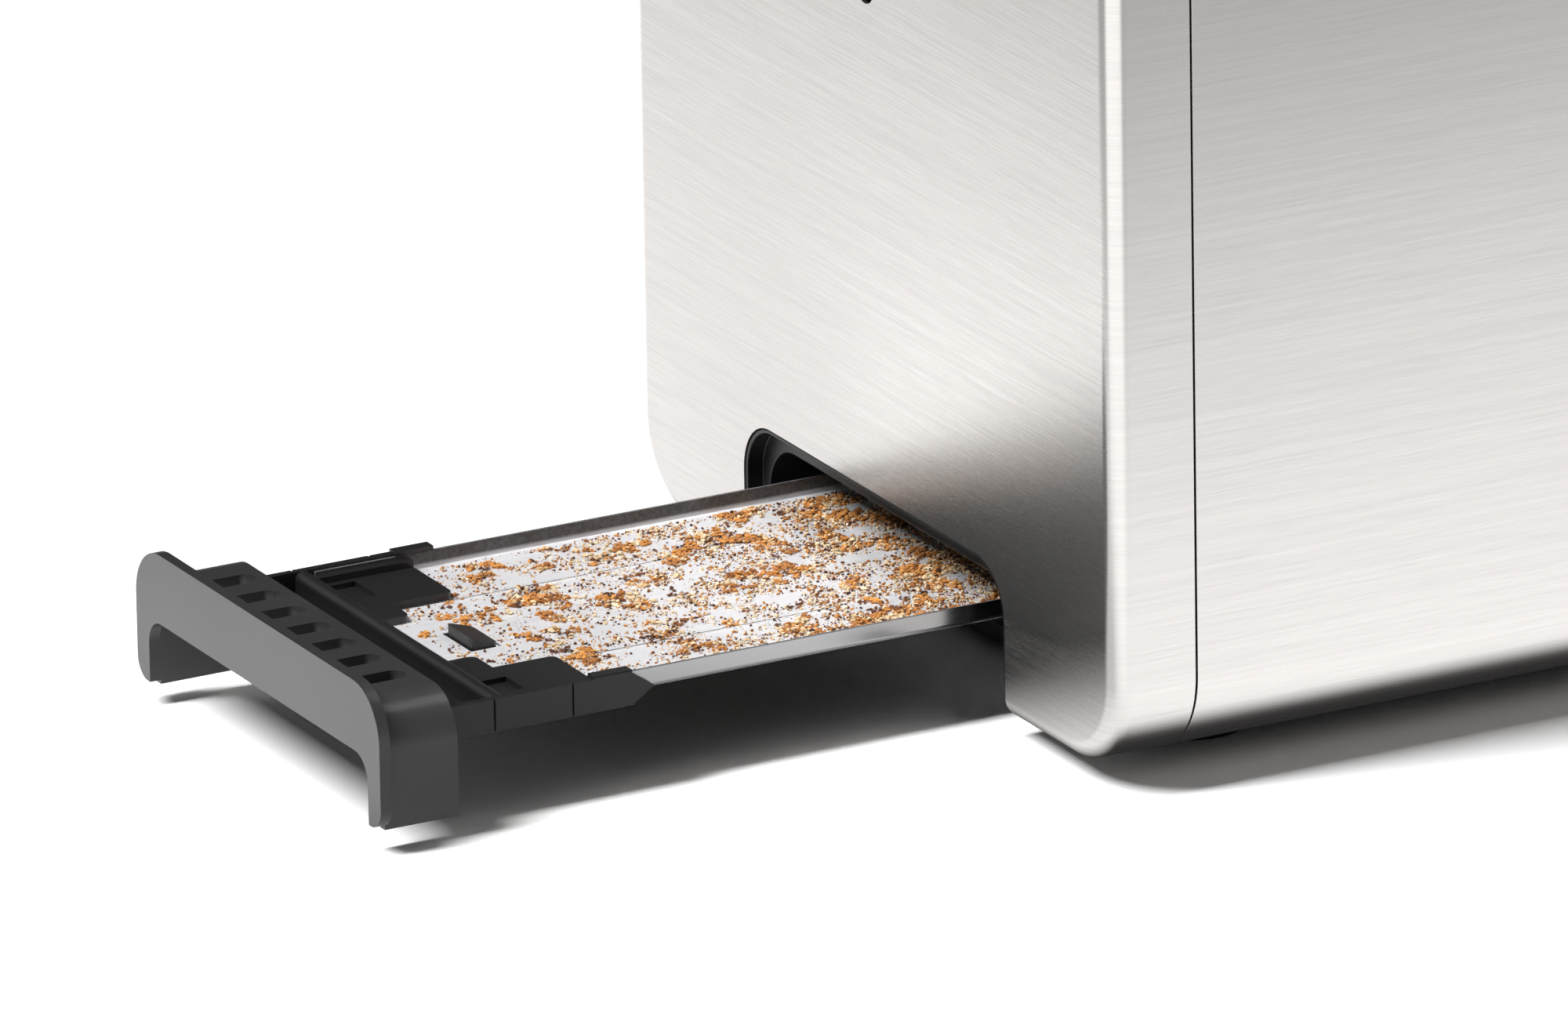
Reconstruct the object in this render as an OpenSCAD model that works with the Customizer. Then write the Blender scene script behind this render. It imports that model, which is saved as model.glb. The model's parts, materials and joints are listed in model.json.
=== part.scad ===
// Pop-up toaster for two slices, with its crumb tray drawn out.
// +X runs from the lever end to the cord end, +Y is the left side seen from
// the lever end, +Z is up. The origin is the middle of the whole object's
// underside, on the surface that the feet stand on.

/* [Body] */
// Length of the body between its end faces
body_l = 284; // [250:1:345]
// Width of the body
body_w = 165; // [162:1:200]
// Height of the steel shell without the feet
body_h = 184.5; // [153:0.5:222]
// Radius of the two long lower edges
lower_r = 16; // [8:0.5:18]
// Radius of the two long upper edges
upper_r = 22; // [8:0.5:26]
// Rounding around each end face
edge_r = 3.4; // [2:0.1:6]
// Depth of an end cap's skirt
cap_depth = 15; // [13:0.5:18]
// Thickness of the steel sheet
sheet_t = 0.8; // [0.6:0.1:1.2]
// Open joint between an end cap and the wrap
seam = 0.4; // [0.2:0.1:1]
// Width of the flange that the wrap turns in underneath
wrap_flange = 20.5; // [19:0.5:24]
// Thickness of the base plate
base_t = 2.9; // [2.4:0.1:4]
// Height of the feet
foot_h = 3.5; // [2:0.5:8]
// Diameter of the feet
foot_d = 18; // [12:1:20]
// Distance of the front feet from the lever end's face
foot_inset_front = 30; // [28:1:34]
// Distance of the rear feet from the cord end's face
foot_inset_rear = 23; // [22:1:24]
// Distance of the feet from the body's sides
foot_inset_y = 28.5; // [26:0.5:31]

/* [Bread slots] */
// Length of a bread slot
slot_l = 148; // [120:1:150]
// Width of a bread slot
slot_w = 34; // [28:1:36]
// Width of the web between the two slots
slot_web = 20; // [18:1:24]
// Distance of the slots from the lever end's face
slot_x = 96; // [94:1:98]
// Corner radius of a slot
slot_r = 3; // [1:0.5:6]
// Thickness of the trim plate on the top
trim_t = 1.4; // [1:0.1:3]
// Width of the trim around a slot
trim_border = 7; // [4:0.5:8]
// Depth of the trim's skirt inside a slot
trim_skirt = 8; // [4:0.5:10]
// Wall of the trim's skirt
trim_wall = 1.2; // [0.8:0.1:2]

/* [Crumb tray] */
// How far the tray is drawn out at rest
tray_out = 114; // [60:1:130]
// Width of the handle's front plate
plate_w = 88; // [70:1:92]
// Height of the front plate's top edge above the body's underside
plate_top = 24.4; // [22:0.1:26]
// Thickness of the front plate
plate_t = 2; // [1.5:0.1:3]
// Radius of the front plate's upper corners
plate_r = 9; // [6:0.5:11]
// Radius of the outer corners of its two legs
toe_r = 3.6; // [1:0.1:4]
// Width of the block behind the front plate
saddle_w = 82.8; // [66:0.2:84]
// Height of that block's top above the body's underside
saddle_top = 20.7; // [19:0.1:21.5]
// Depth of the whole handle
handle_depth = 15.5; // [12:0.5:18]
// Wall of the handle
handle_wall = 2; // [1.5:0.1:3]
// Width of the finger recess
recess_w = 79.2; // [60:0.2:80]
// Height of the finger recess
recess_top = 12.3; // [10:0.1:14]
// Number of slots in the handle's top
grip_slots = 7; // [3:1:8]
// Spacing of those slots
grip_pitch = 9; // [8:0.5:10]
// Width of one of those slots
grip_slot_w = 4.2; // [3:0.1:5]
// Outside width of the steel pan
pan_w = 70; // [56:1:72]
// Length of the steel pan
pan_l = 228; // [190:1:230]
// Height of the pan's wall
pan_wall_h = 3.5; // [2.5:0.1:5]
// Thickness of the pan's sheet
pan_t = 0.6; // [0.4:0.1:1]
// Height of the pan's underside above the body's underside
pan_z = 13.1; // [12.5:0.1:14]
// Length of the plastic frame between handle and pan end
carrier_l = 38.5; // [32:0.5:40]
// Wall of that frame
carrier_wall = 1.4; // [1:0.1:2]
// Play between the tray and what it slides in
tray_play = 0.4; // [0.2:0.1:1]

/* [Lifting carriage] */
// Travel of the lever
travel = 52; // [40:1:56]
// Height of the lowered bread racks above the body's underside
rack_low = 30; // [29:1:36]
// Height of a bread rack's strip
rack_h = 9; // [6:0.5:12]
// Thickness of a bread rack's strip
rack_t = 2.4; // [1.5:0.1:3]
// Distance of the raised lever from the top of the shell
lever_drop = 18.5; // [18:0.5:26]
// Width of the lever's slot
lever_slot_w = 6.4; // [5:0.1:8]
// Thickness of the lever's arm
arm_t = 2.4; // [2:0.1:4]
// Height of the lever's arm
arm_h = 5; // [4:0.5:8]
// Width of the lever's knob
knob_w = 40; // [24:1:50]
// Height of the lever's knob
knob_h = 15; // [10:0.5:20]
// Depth of the lever's knob
knob_d = 20; // [14:1:26]
// Diameter of the carriage's guide rods
rod_d = 5; // [4:0.1:6]
// Spacing of the guide rods
rod_gap = 32; // [26:1:36]
// Radial clearance of a running fit
running = 0.06; // [0.03:0.01:0.1]

/* [Bread guides and heaters] */
// Distance of an open bread guide from its slot's middle
guide_open = 15; // [13:0.5:17]
// Diameter of the bread guides' wire
wire_d = 1.8; // [1.4:0.1:2.2]
// Number of upright wires in a bread guide
guide_wires = 10; // [6:1:14]
// Distance of an outer heater from its slot's middle
heater_gap = 27; // [24:0.5:28]
// Thickness of a mica card
mica_t = 1; // [0.6:0.1:1.6]
// Height of a mica card
mica_h = 124; // [100:1:150]
// Number of windings on a mica card
winding_rows = 11; // [6:1:12]
// Height of the heating ribbon
ribbon_h = 1.6; // [1:0.1:2.5]
// Thickness of the heating ribbon
ribbon_t = 0.4; // [0.2:0.1:0.6]
// Distance of a reflector from the body's side
reflector_gap = 12.5; // [8:0.5:14]
// Thickness of the bulkheads
bulkhead_t = 1; // [0.8:0.1:1.6]

/* [Controls] */
// Distance of the buttons and the dial from the middle
control_y = 45; // [44:0.5:50]
// Diameter of a push button
button_d = 11; // [8:0.5:12]
// Spacing of the push buttons
button_pitch = 20; // [16:0.5:22]
// How far a button stands out
button_out = 2; // [1.5:0.1:4]
// Travel of a button
button_travel = 1.2; // [0.8:0.1:1.4]
// Diameter of the browning dial
dial_d = 34; // [24:1:40]
// Depth of the browning dial
dial_depth = 14; // [10:0.5:18]
// Diameter of the dial's shaft
dial_shaft_d = 6; // [4:0.1:7]
// Diameter of a light pipe
light_d = 2.4; // [2:0.1:4]
// Bore of the cord's gland
gland_bore = 8; // [6:0.1:10]

/* [Hidden] */
$fn = 48;
eps = 0.01;
steel = [0.80, 0.79, 0.77];
dark_steel = [0.62, 0.62, 0.62];
black_plastic = [0.13, 0.13, 0.14];
grey_plastic = [0.30, 0.30, 0.31];
rubber = [0.08, 0.08, 0.08];
mica = [0.72, 0.66, 0.52];
copper = [0.72, 0.45, 0.20];
board_green = [0.10, 0.35, 0.20];
clear_plastic = [0.85, 0.88, 0.90];

// Places along the body, measured from the lever end's face
gland_out = 2;
front_x = -(body_l + gland_out - tray_out) / 2;
bulkhead_x = slot_x - 12;
rear_bulkhead_x = slot_x + slot_l + 8;
cap_gap = cap_depth + seam;
rail_x = cap_depth + 9;
rail_end_x = body_l - 22;
base_x = cap_depth + 2;
board_x = cap_depth + 1;
board_t = 1.6;

// Heights
low_z = foot_h;
top_z = foot_h + body_h;
floor_z = low_z + base_t;
chamber_z = low_z + 22.5;
shelf_z = low_z + 24;
shelf_t = 1;
bulkhead_top_z = top_z - sheet_t - 6;
upper_shelf_z = top_z - lever_drop + arm_h / 2 + 1;
lever_z = top_z - lever_drop;
rack_z = low_z + rack_low + travel;
pivot_z = low_z + rack_low + 1;
guide_top_z = bulkhead_top_z - 12;
mica_z = low_z + rack_low + 6;

// Places across the body
slot_y = (slot_web + slot_w) / 2;
heater_y = slot_y + heater_gap;
base_half = body_w / 2 - wrap_flange - 0.2;
base_top_half = body_w / 2 - lower_r - 0.5;
leg_y = 47;
leg_w = 17;
toe_l = 12;
bulkhead_half = body_w / 2 - 10.5;

// Crumb tray
handle_x = -tray_out;
saddle_x = handle_x + plate_t;
carrier_x = handle_x + handle_depth;
carrier_half = pan_w / 2 + 0.1 + carrier_wall;
carrier_low = pan_z - 1.8;
carrier_top = pan_z + pan_wall_h + 0.3;
bar_x = carrier_x + 9.3;
pan_x = carrier_x + 12.7;
plate_foot = 0.9;
saddle_foot = 0.2;
saddle_r = 8;
recess_r = 4.5;
bezel_wall = 0.7;
bezel_fit = 0.2;
notch_half = plate_w / 2 + tray_play + bezel_wall + bezel_fit;
notch_top = plate_top + tray_play + bezel_wall + bezel_fit;
notch_r = plate_r + tray_play;
bezel_ledge = plate_t + 1.2;
mouth_half = saddle_w / 2 + 2 * tray_play;
mouth_top = saddle_top + 2 * tray_play;
rail_y = carrier_half + 2;
rail_w = 2;
ledge_w = 5;

// Carriage
carriage_x = bulkhead_x - 12;
carriage_t = 1.6;
rod_x = carriage_x - 6;
sleeve_r = rod_d / 2 + 1.8;
sleeve_h = 24;
cross_half = slot_y + 7;
spring_y = slot_y;
spring_r = 3.5;
spring_wire_r = 0.5;
spring_turns = 18;
magnet_x = rod_x - 19;
magnet_w = 14;
magnet_y = -rod_gap / 2 - 10;
magnet_h = 25;
magnet_gap = 0.2;
armature_t = 2;
armature_z = shelf_z + shelf_t + magnet_h + magnet_gap + travel;
shelf_front_x = magnet_x - 3;
shelf_half = slot_y + 8;

// Controls
panel_t = 2;
button_z = [for (i = [-1, 0, 1]) lever_z - 27 + i * button_pitch];
dial_z = lever_z - 19;
pot_depth = 7;
screw_r = 1.5;
thread_play = 0.02;
standoff_y = 60;
gland_y = -50;
gland_z = low_z + 30;
gland_r = 9;
wire_r = 1.3;
wire_y = [-(body_w / 2 - 15.5), -(body_w / 2 - 11.5)];
wire_z = low_z + 12;
wire_bend = 10;
wire_x = board_x + board_t + 7.4;
connector_z = low_z + 54;
ear_half = 8;
ear_t = 5.2;
ear_end = 4;
terminal_x = body_l - base_x - 0.5;

// Everything is drawn from the lever end's face and moved as one
module at_body() { translate([front_x, 0, 0]) children(); }

// Extrudes an outline drawn across the body (Y to the side, Z up) along X
module along_x(x, length) {
    translate([x, 0, 0]) rotate([90, 0, 90]) linear_extrude(length) children();
}

// Cylinder along X
module rod_x(x, y, z, r, length) {
    translate([x, y, z]) rotate([0, 90, 0]) cylinder(r = r, h = length);
}

// Box between two corners
module block(low, high) { translate(low) cube(high - low); }

// Outline across the body, pulled in all round by inset
module body_outline(inset) {
    half = body_w / 2 - inset;
    r1 = lower_r - inset;
    r2 = upper_r - inset;
    z1 = low_z + inset;
    z2 = top_z - inset;
    translate([-half, z1 + r1]) square([2 * half, z2 - z1 - r1 - r2]);
    translate([-half + r1, z1]) square([2 * (half - r1), r1 + 1]);
    translate([-half + r2, z2 - r2 - 1]) square([2 * (half - r2), r2 + 1]);
    for (s = [-1, 1]) {
        translate([s * (half - r1), z1 + r1]) circle(r = r1);
        translate([s * (half - r2), z2 - r2]) circle(r = r2);
    }
}

// Arch with rounded upper corners that stands on z1
module arch(half, z1, z2, r) {
    translate([-half, z1]) square([2 * half, z2 - r - z1]);
    translate([-half + r, z1]) square([2 * (half - r), z2 - z1]);
    for (s = [-1, 1]) translate([s * (half - r), z2 - r]) circle(r = r);
}

// Upright slot with round ends, between the heights z1 and z2
module upright_slot(w, z1, z2) {
    translate([-w / 2, z1 + w / 2]) square([w, z2 - z1 - w]);
    for (z = [z1 + w / 2, z2 - w / 2]) translate([0, z]) circle(d = w);
}

// Rounded rectangle in plan
module plan_rect(l, w, r) {
    translate([r, -w / 2]) square([l - 2 * r, w]);
    translate([0, -w / 2 + r]) square([l, w - 2 * r]);
    for (x = [r, l - r], s = [-1, 1]) translate([x, s * (w / 2 - r)]) circle(r = r);
}

// Solid end of the body with a rounded edge all round its face
module rounded_end(inset, length) {
    face_r = edge_r - inset;
    hull() for (s = [-1, 1], up = [0, 1]) {
        r = (up ? upper_r : lower_r) - inset;
        z = up ? top_z - inset - r : low_z + inset + r;
        translate([inset, s * (body_w / 2 - inset - r), z]) rotate([0, 90, 0]) rotate_extrude($fn = 64) {
            square([r - face_r, length - inset]);
            translate([0, face_r]) square([r, length - inset - face_r]);
            translate([r - face_r, face_r]) circle(r = face_r, $fn = 32);
        }
    }
}

// Drawn cap with its skirt, its face at X = 0
module cap_shell() {
    difference() {
        rounded_end(0, cap_depth);
        rounded_end(sheet_t, cap_depth + 1);
    }
}

module cap_screw_holes() {
    for (s = [-1, 1])
        translate([cap_depth / 2, s * (base_half - 5.5), low_z - 1])
            cylinder(r = screw_r + 0.2, h = sheet_t + 2);
}

module end_cap_front() {
    color(steel) at_body() difference() {
        cap_shell();
        along_x(-1, cap_depth + 2) arch(notch_half, low_z - 1, low_z + notch_top, notch_r);
        along_x(-1, 3) upright_slot(lever_slot_w, lever_z - travel - arm_h / 2 - 1.2,
            lever_z + arm_h / 2 + 5);
        for (z = button_z) {
            rod_x(-1, control_y, z, button_d / 2 + 0.3, 3);
            rod_x(-1, control_y + 12, z, light_d / 2 + 0.1, 3);
        }
        rod_x(-1, -control_y, dial_z, dial_shaft_d / 2 + 1.2, 3);
        cap_screw_holes();
    }
}

module end_cap_rear() {
    color(steel) at_body() translate([body_l, 0, 0]) mirror([1, 0, 0]) difference() {
        cap_shell();
        rod_x(-1, gland_y, gland_z, gland_r, 3);
        cap_screw_holes();
    }
}

module slot_outlines(grow) {
    for (s = [-1, 1]) translate([slot_x - grow, s * slot_y])
        plan_rect(slot_l + 2 * grow, slot_w + 2 * grow, slot_r + grow);
}

module wrap_cover() {
    color(steel) at_body() difference() {
        along_x(cap_gap, body_l - 2 * cap_gap) difference() {
            body_outline(0);
            body_outline(sheet_t);
            translate([-body_w / 2 + wrap_flange, low_z - 1]) square([body_w - 2 * wrap_flange, sheet_t + 2]);
        }
        translate([0, 0, top_z - sheet_t - 1]) linear_extrude(sheet_t + 2) slot_outlines(trim_wall + 0.2);
    }
}

module slot_trim() {
    color(black_plastic) at_body() difference() {
        union() {
            translate([slot_x - trim_border, 0, top_z]) linear_extrude(trim_t)
                plan_rect(slot_l + 2 * trim_border, 2 * slot_y + slot_w + 2 * trim_border,
                    slot_r + trim_border);
            translate([0, 0, top_z - trim_skirt]) linear_extrude(trim_skirt + eps) slot_outlines(trim_wall);
        }
        translate([0, 0, top_z - trim_skirt - 1]) linear_extrude(trim_skirt + trim_t + 2) slot_outlines(0);
    }
}

module base_plate() {
    color(black_plastic) at_body() difference() {
        union() {
            block([base_x, -base_half, low_z], [body_l - base_x, base_half, low_z + sheet_t + eps]);
            block([base_x, -base_top_half, low_z + sheet_t], [body_l - base_x, base_top_half, floor_z]);
            for (s = [-1, 1]) {
                for (x = [[ear_end, base_x + 1], [body_l - base_x - 1, body_l - ear_end]])
                    block([x[0], s * (base_half - 5.5) - ear_half, low_z + sheet_t],
                          [x[1], s * (base_half - 5.5) + ear_half, low_z + sheet_t + ear_t]);
                rail(s);
            }
        }
        vent_slots();
        for (x = [foot_inset_front, body_l - foot_inset_rear], s = [-1, 1])
            translate([x, s * (body_w / 2 - foot_inset_y), low_z - 1]) cylinder(r = 3.1, h = base_t + 2);
        for (x = [cap_depth / 2, body_l - cap_depth / 2], s = [-1, 1])
            translate([x, s * (base_half - 5.5), low_z]) cylinder(r = screw_r + thread_play, h = 10);
        for (p = base_screw_places()) translate([p[0], p[1], low_z - 1]) {
            cylinder(r = screw_r + 0.2, h = base_t + 2);
            cylinder(r = 3.4, h = 2.4);
        }
    }
}

// One side's tray guide: a rib along the tray and a ledge under the pan
module rail(s) {
    y1 = s > 0 ? rail_y : -rail_y - rail_w;
    y2 = s > 0 ? rail_y - ledge_w : -rail_y - eps;
    block([rail_x, y1, floor_z - eps], [rail_end_x, y1 + rail_w, low_z + carrier_top + 0.6]);
    block([carrier_x + tray_out + carrier_l + 4, y2, low_z + pan_z - 2.2],
          [rail_end_x, y2 + ledge_w + eps, low_z + pan_z - 0.2]);
}

module vent_slots() {
    for (x = [slot_x + 6 : 12 : slot_x + slot_l - 12], s = [-1, 1])
        block([x, s * 17 - 11, low_z - 1], [x + 3, s * 17 + 11, floor_z + 1]);
}

function base_screw_places() = [for (x = [bulkhead_x, rear_bulkhead_x], s = [-1, 1])
    [x - toe_l / 2, s * (leg_y + leg_w / 2)]];

module foot(x, side) {
    color(rubber) at_body() translate([x, side * (body_w / 2 - foot_inset_y), 0]) {
        cylinder(d = foot_d, h = foot_h);
        cylinder(r = 3, h = floor_z);
        translate([0, 0, floor_z]) cylinder(r = 4, h = 1.4);
    }
}
module foot_front_left() { foot(foot_inset_front, 1); }
module foot_front_right() { foot(foot_inset_front, -1); }
module foot_rear_left() { foot(body_l - foot_inset_rear, 1); }
module foot_rear_right() { foot(body_l - foot_inset_rear, -1); }

// Liner of the tray's opening: a recess for the front plate, then the mouth
module tray_bezel() {
    half = notch_half - bezel_fit;
    top = low_z + notch_top - bezel_fit;
    color(black_plastic) at_body() difference() {
        along_x(0.2, cap_depth - 0.6) arch(half, low_z + edge_r, top, notch_r - bezel_fit);
        along_x(-1, bezel_ledge + 1) arch(half - bezel_wall, low_z - 1, top - bezel_wall,
            notch_r - bezel_wall);
        along_x(0, cap_depth + 1) arch(mouth_half, low_z - 1, low_z + mouth_top, saddle_r + 2 * tray_play);
    }
}

module tray_handle() {
    inner_half = recess_w / 2;
    slot_x1 = saddle_x + 3;
    slot_x2 = carrier_x - handle_wall - grip_slot_w / 2;
    color(grey_plastic) at_body() difference() {
        union() {
            along_x(handle_x, plate_t) {
                arch(plate_w / 2, low_z + plate_foot + toe_r, low_z + plate_top, plate_r);
                translate([-plate_w / 2 + toe_r, low_z + plate_foot])
                    square([plate_w - 2 * toe_r, toe_r + 1]);
                for (s = [-1, 1])
                    translate([s * (plate_w / 2 - toe_r), low_z + plate_foot + toe_r]) circle(r = toe_r);
            }
            along_x(saddle_x - eps, handle_depth - plate_t + eps)
                arch(saddle_w / 2, low_z + saddle_foot, low_z + saddle_top, saddle_r);
        }
        along_x(handle_x - 1, handle_depth + 2) arch(inner_half, low_z - 1, low_z + recess_top, recess_r);
        along_x(saddle_x, handle_depth - plate_t - handle_wall)
            arch(inner_half, low_z - 1, low_z + saddle_top - handle_wall, saddle_r - handle_wall);
        for (i = [0 : grip_slots - 1]) {
            y = (i - (grip_slots - 1) / 2) * grip_pitch;
            block([slot_x1, y - grip_slot_w / 2, low_z + saddle_top - handle_wall - 1],
                  [slot_x2, y + grip_slot_w / 2, low_z + saddle_top + 1]);
            translate([slot_x2, y, low_z + saddle_top - handle_wall - 1])
                cylinder(d = grip_slot_w, h = handle_wall + 2);
        }
    }
}

// Black frame between handle and pan: trough, cross bar, floor lobes with
// snap windows, side arms along the pan and a locking wedge
module tray_carrier() {
    z1 = low_z + carrier_low;
    z2 = low_z + carrier_top;
    lobe_z = low_z + pan_z + pan_t;
    lobe_t = 1.3;
    color(black_plastic) at_body() difference() {
        union() {
            block([carrier_x, -carrier_half, z1], [bar_x + 1, carrier_half, z1 + 1.5]);
            block([carrier_x, -carrier_half, z1], [carrier_x + 1.5, carrier_half, z2]);
            block([bar_x, -carrier_half, z1], [bar_x + 3, carrier_half, z2 - 1.5]);
            translate([bar_x + 1.5, carrier_half, z2 - 1.5]) rotate([90, 0, 0])
                cylinder(r = 1.5, h = 2 * carrier_half);
            for (s = [-1, 1]) {
                mirror([0, s < 0 ? 1 : 0, 0]) side_arm(z1, z2);
                mirror([0, s < 0 ? 1 : 0, 0]) lobe(lobe_z, lobe_t);
            }
            block([bar_x, -18, z1], [bar_x + 17, 18, low_z + pan_z - 0.1]);
            wedge(lobe_z);
        }
        for (s = [-1, 1]) {
            block([bar_x + 4, s * 27 - 4, z1 - 1], [bar_x + 9, s * 27 + 4, z2 + 1]);
            for (x = [bar_x - 0.2, bar_x + 14.1])
                block([x, s * carrier_half - 0.4, z1 - 1], [x + 0.4, s * carrier_half + 0.4, z2 + 1]);
        }
    }
}

module side_arm(z1, z2) {
    length = carrier_l - 4;
    translate([carrier_x, carrier_half, 0]) rotate([90, 0, 0]) linear_extrude(carrier_wall)
        polygon([[0, z1], [length, z1], [carrier_l, (z1 + z2) / 2], [length, z2], [0, z2]]);
    block([carrier_x + length - 7, carrier_half - carrier_wall - 0.9, z2 - 0.2],
          [carrier_x + length, carrier_half, z2 + 0.5]);
}

module lobe(z, t) {
    inner = pan_w / 2 - pan_t - 0.1;
    translate([0, 0, z + 0.05]) linear_extrude(t) {
        translate([bar_x + 2, 11.5]) square([7.2, inner - 11.5]);
        translate([bar_x + 2, 18]) square([18.5, inner - 18]);
    }
    block([bar_x + 2, inner - 2, z + 0.05], [bar_x + 20.5, inner, z + t + 1.2]);
}

module wedge(z) {
    translate([bar_x + 11.8, 3.9, z]) rotate([90, 0, 0]) linear_extrude(9.5)
        polygon([[0, -0.8], [4.9, -0.8], [4.9, 0.4], [0, 1.9]]);
}

module tray_pan() {
    z = low_z + pan_z;
    half = pan_w / 2;
    color(steel) at_body() difference() {
        union() {
            block([pan_x, -half, z], [pan_x + pan_l, half, z + pan_wall_h]);
        }
        block([pan_x - 1, -half + pan_t, z + pan_t],
              [pan_x + pan_l - pan_t, half - pan_t, z + pan_wall_h + 1]);
        block([bar_x + 11.4, -6, z - 1], [bar_x + 17.1, 4.3, z + 2]);
    }
}

// Plate across the heating chamber, standing on two legs beside the tray
module bulkhead() {
    difference() {
        union() {
            block([0, -bulkhead_half, chamber_z], [bulkhead_t, bulkhead_half, bulkhead_top_z]);
            for (s = [-1, 1]) {
                y = s > 0 ? leg_y : -leg_y - leg_w;
                block([0, y, floor_z], [bulkhead_t, y + leg_w, chamber_z + eps]);
                block([-toe_l, y, floor_z], [bulkhead_t, y + leg_w, floor_z + 1]);
            }
        }
        for (s = [-1, 1], g = [-1, 1])
            rod_x(-1, s * slot_y + g * guide_open, pivot_z, wire_d / 2 + running, bulkhead_t + 2);
        for (y = [-heater_y, 0, heater_y], z = [mica_z + 12, mica_z + mica_h - 22])
            block([-1, y - mica_t / 2 - 0.1, z - 0.1], [bulkhead_t + 1, y + mica_t / 2 + 0.1, z + 10.1]);
        for (s = [-1, 1])
            translate([-toe_l / 2, s * (leg_y + leg_w / 2), floor_z - 1])
                cylinder(r = screw_r + thread_play, h = 3);
    }
}

module front_bulkhead() {
    color(dark_steel) at_body() difference() {
        union() {
            translate([bulkhead_x, 0, 0]) bulkhead();
            block([shelf_front_x, -shelf_half, shelf_z], [bulkhead_x + eps, shelf_half, shelf_z + shelf_t]);
            block([rod_x - 8, -shelf_half, upper_shelf_z],
                  [bulkhead_x + eps, shelf_half, upper_shelf_z + shelf_t]);
        }
        for (s = [-1, 1]) {
            block([bulkhead_x - 1, s * slot_y - 6, rack_z - travel - 2],
                  [bulkhead_x + bulkhead_t + 1, s * slot_y + 6, rack_z + rack_h + 3]);
            translate([rod_x, s * rod_gap / 2, 0]) cylinder(d = rod_d + 0.02, h = top_z);
        }
    }
}

module rear_bulkhead() {
    color(dark_steel) at_body() translate([rear_bulkhead_x, 0, 0]) bulkhead();
}

// Mica card, narrower where the ribbon wraps it
module heater_card(y) {
    x1 = bulkhead_x + bulkhead_t + 0.3;
    x2 = rear_bulkhead_x - 0.3;
    color(mica) at_body() translate([0, y - mica_t / 2, 0]) {
        block([x1 + 9, 0, mica_z], [x2 - 9, mica_t, mica_z + mica_h]);
        for (z = [mica_z, mica_z + mica_h - 8]) block([x1, 0, z], [x2, mica_t, z + 8]);
        for (z = [mica_z + 12, mica_z + mica_h - 22], x = [[x1 - 1.8, x1 + 10], [x2 - 10, x2 + 1.8]])
            block([x[0], 0, z], [x[1], mica_t, z + 10]);
    }
}
module heater_card_left() { heater_card(heater_y); }
module heater_card_centre() { heater_card(0); }
module heater_card_right() { heater_card(-heater_y); }

// Flat ribbon wound round a mica card, each turn linked to the next
module heater_winding(y) {
    x1 = bulkhead_x + bulkhead_t + 9.3 - 0.1;
    x2 = rear_bulkhead_x - 9.3 + 0.1;
    half = mica_t / 2 + 0.05;
    first = mica_z + 25;
    step = (mica_h - 50 - ribbon_h) / (winding_rows - 1);
    color(copper) at_body() translate([0, y, 0]) {
        for (i = [0 : winding_rows - 1]) translate([0, 0, first + i * step]) difference() {
            block([x1 - ribbon_t, -half - ribbon_t, 0], [x2 + ribbon_t, half + ribbon_t, ribbon_h]);
            block([x1, -half, -1], [x2, half, ribbon_h + 1]);
        }
        for (i = [0 : winding_rows - 2]) {
            x = i % 2 == 0 ? x1 + 1 : x2 - 1 - ribbon_h;
            block([x, half, first + i * step + ribbon_h / 2],
                  [x + ribbon_h, half + ribbon_t, first + (i + 1) * step + ribbon_h / 2]);
        }
    }
}
module heater_winding_left() { heater_winding(heater_y); }
module heater_winding_centre() { heater_winding(0); }
module heater_winding_right() { heater_winding(-heater_y); }

// Bright sheet behind an outer heater, with folded edges above and below
module reflector(s) {
    y = s * (body_w / 2 - reflector_gap);
    x1 = bulkhead_x + bulkhead_t;
    color(steel) at_body() {
        block([x1, y - sheet_t / 2, chamber_z + 2], [rear_bulkhead_x, y + sheet_t / 2, bulkhead_top_z - 12]);
        for (z = [chamber_z + 2, bulkhead_top_z - 12 - sheet_t])
            block([x1, y - (s > 0 ? 8 : 0), z], [rear_bulkhead_x, y + (s > 0 ? 0 : 8), z + sheet_t]);
    }
}
module reflector_left() { reflector(1); }
module reflector_right() { reflector(-1); }

// Wire cage beside the bread, hung on its lower wire
module guide(y) {
    x1 = bulkhead_x - 0.5;
    x2 = rear_bulkhead_x + bulkhead_t + 0.5;
    w1 = bulkhead_x + bulkhead_t + 6;
    w2 = rear_bulkhead_x - 6;
    color(steel) at_body() {
        rod_x(x1, y, pivot_z, wire_d / 2, x2 - x1);
        rod_x(w1 - 2, y, guide_top_z, wire_d / 2, w2 - w1 + 4);
        for (i = [0 : guide_wires - 1])
            translate([w1 + i * (w2 - w1) / (guide_wires - 1), y, pivot_z])
                cylinder(d = wire_d * 0.9, h = guide_top_z - pivot_z);
    }
}
module guide_left_outer() { guide(slot_y + guide_open); }
module guide_left_inner() { guide(slot_y - guide_open); }
module guide_right_inner() { guide(-slot_y + guide_open); }
module guide_right_outer() { guide(-slot_y - guide_open); }

module guide_rod(s) {
    color(steel) at_body() translate([rod_x, s * rod_gap / 2, shelf_z - 1])
        cylinder(d = rod_d, h = upper_shelf_z + shelf_t + 1 - shelf_z + 1);
}
module guide_rod_left() { guide_rod(1); }
module guide_rod_right() { guide_rod(-1); }

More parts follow.
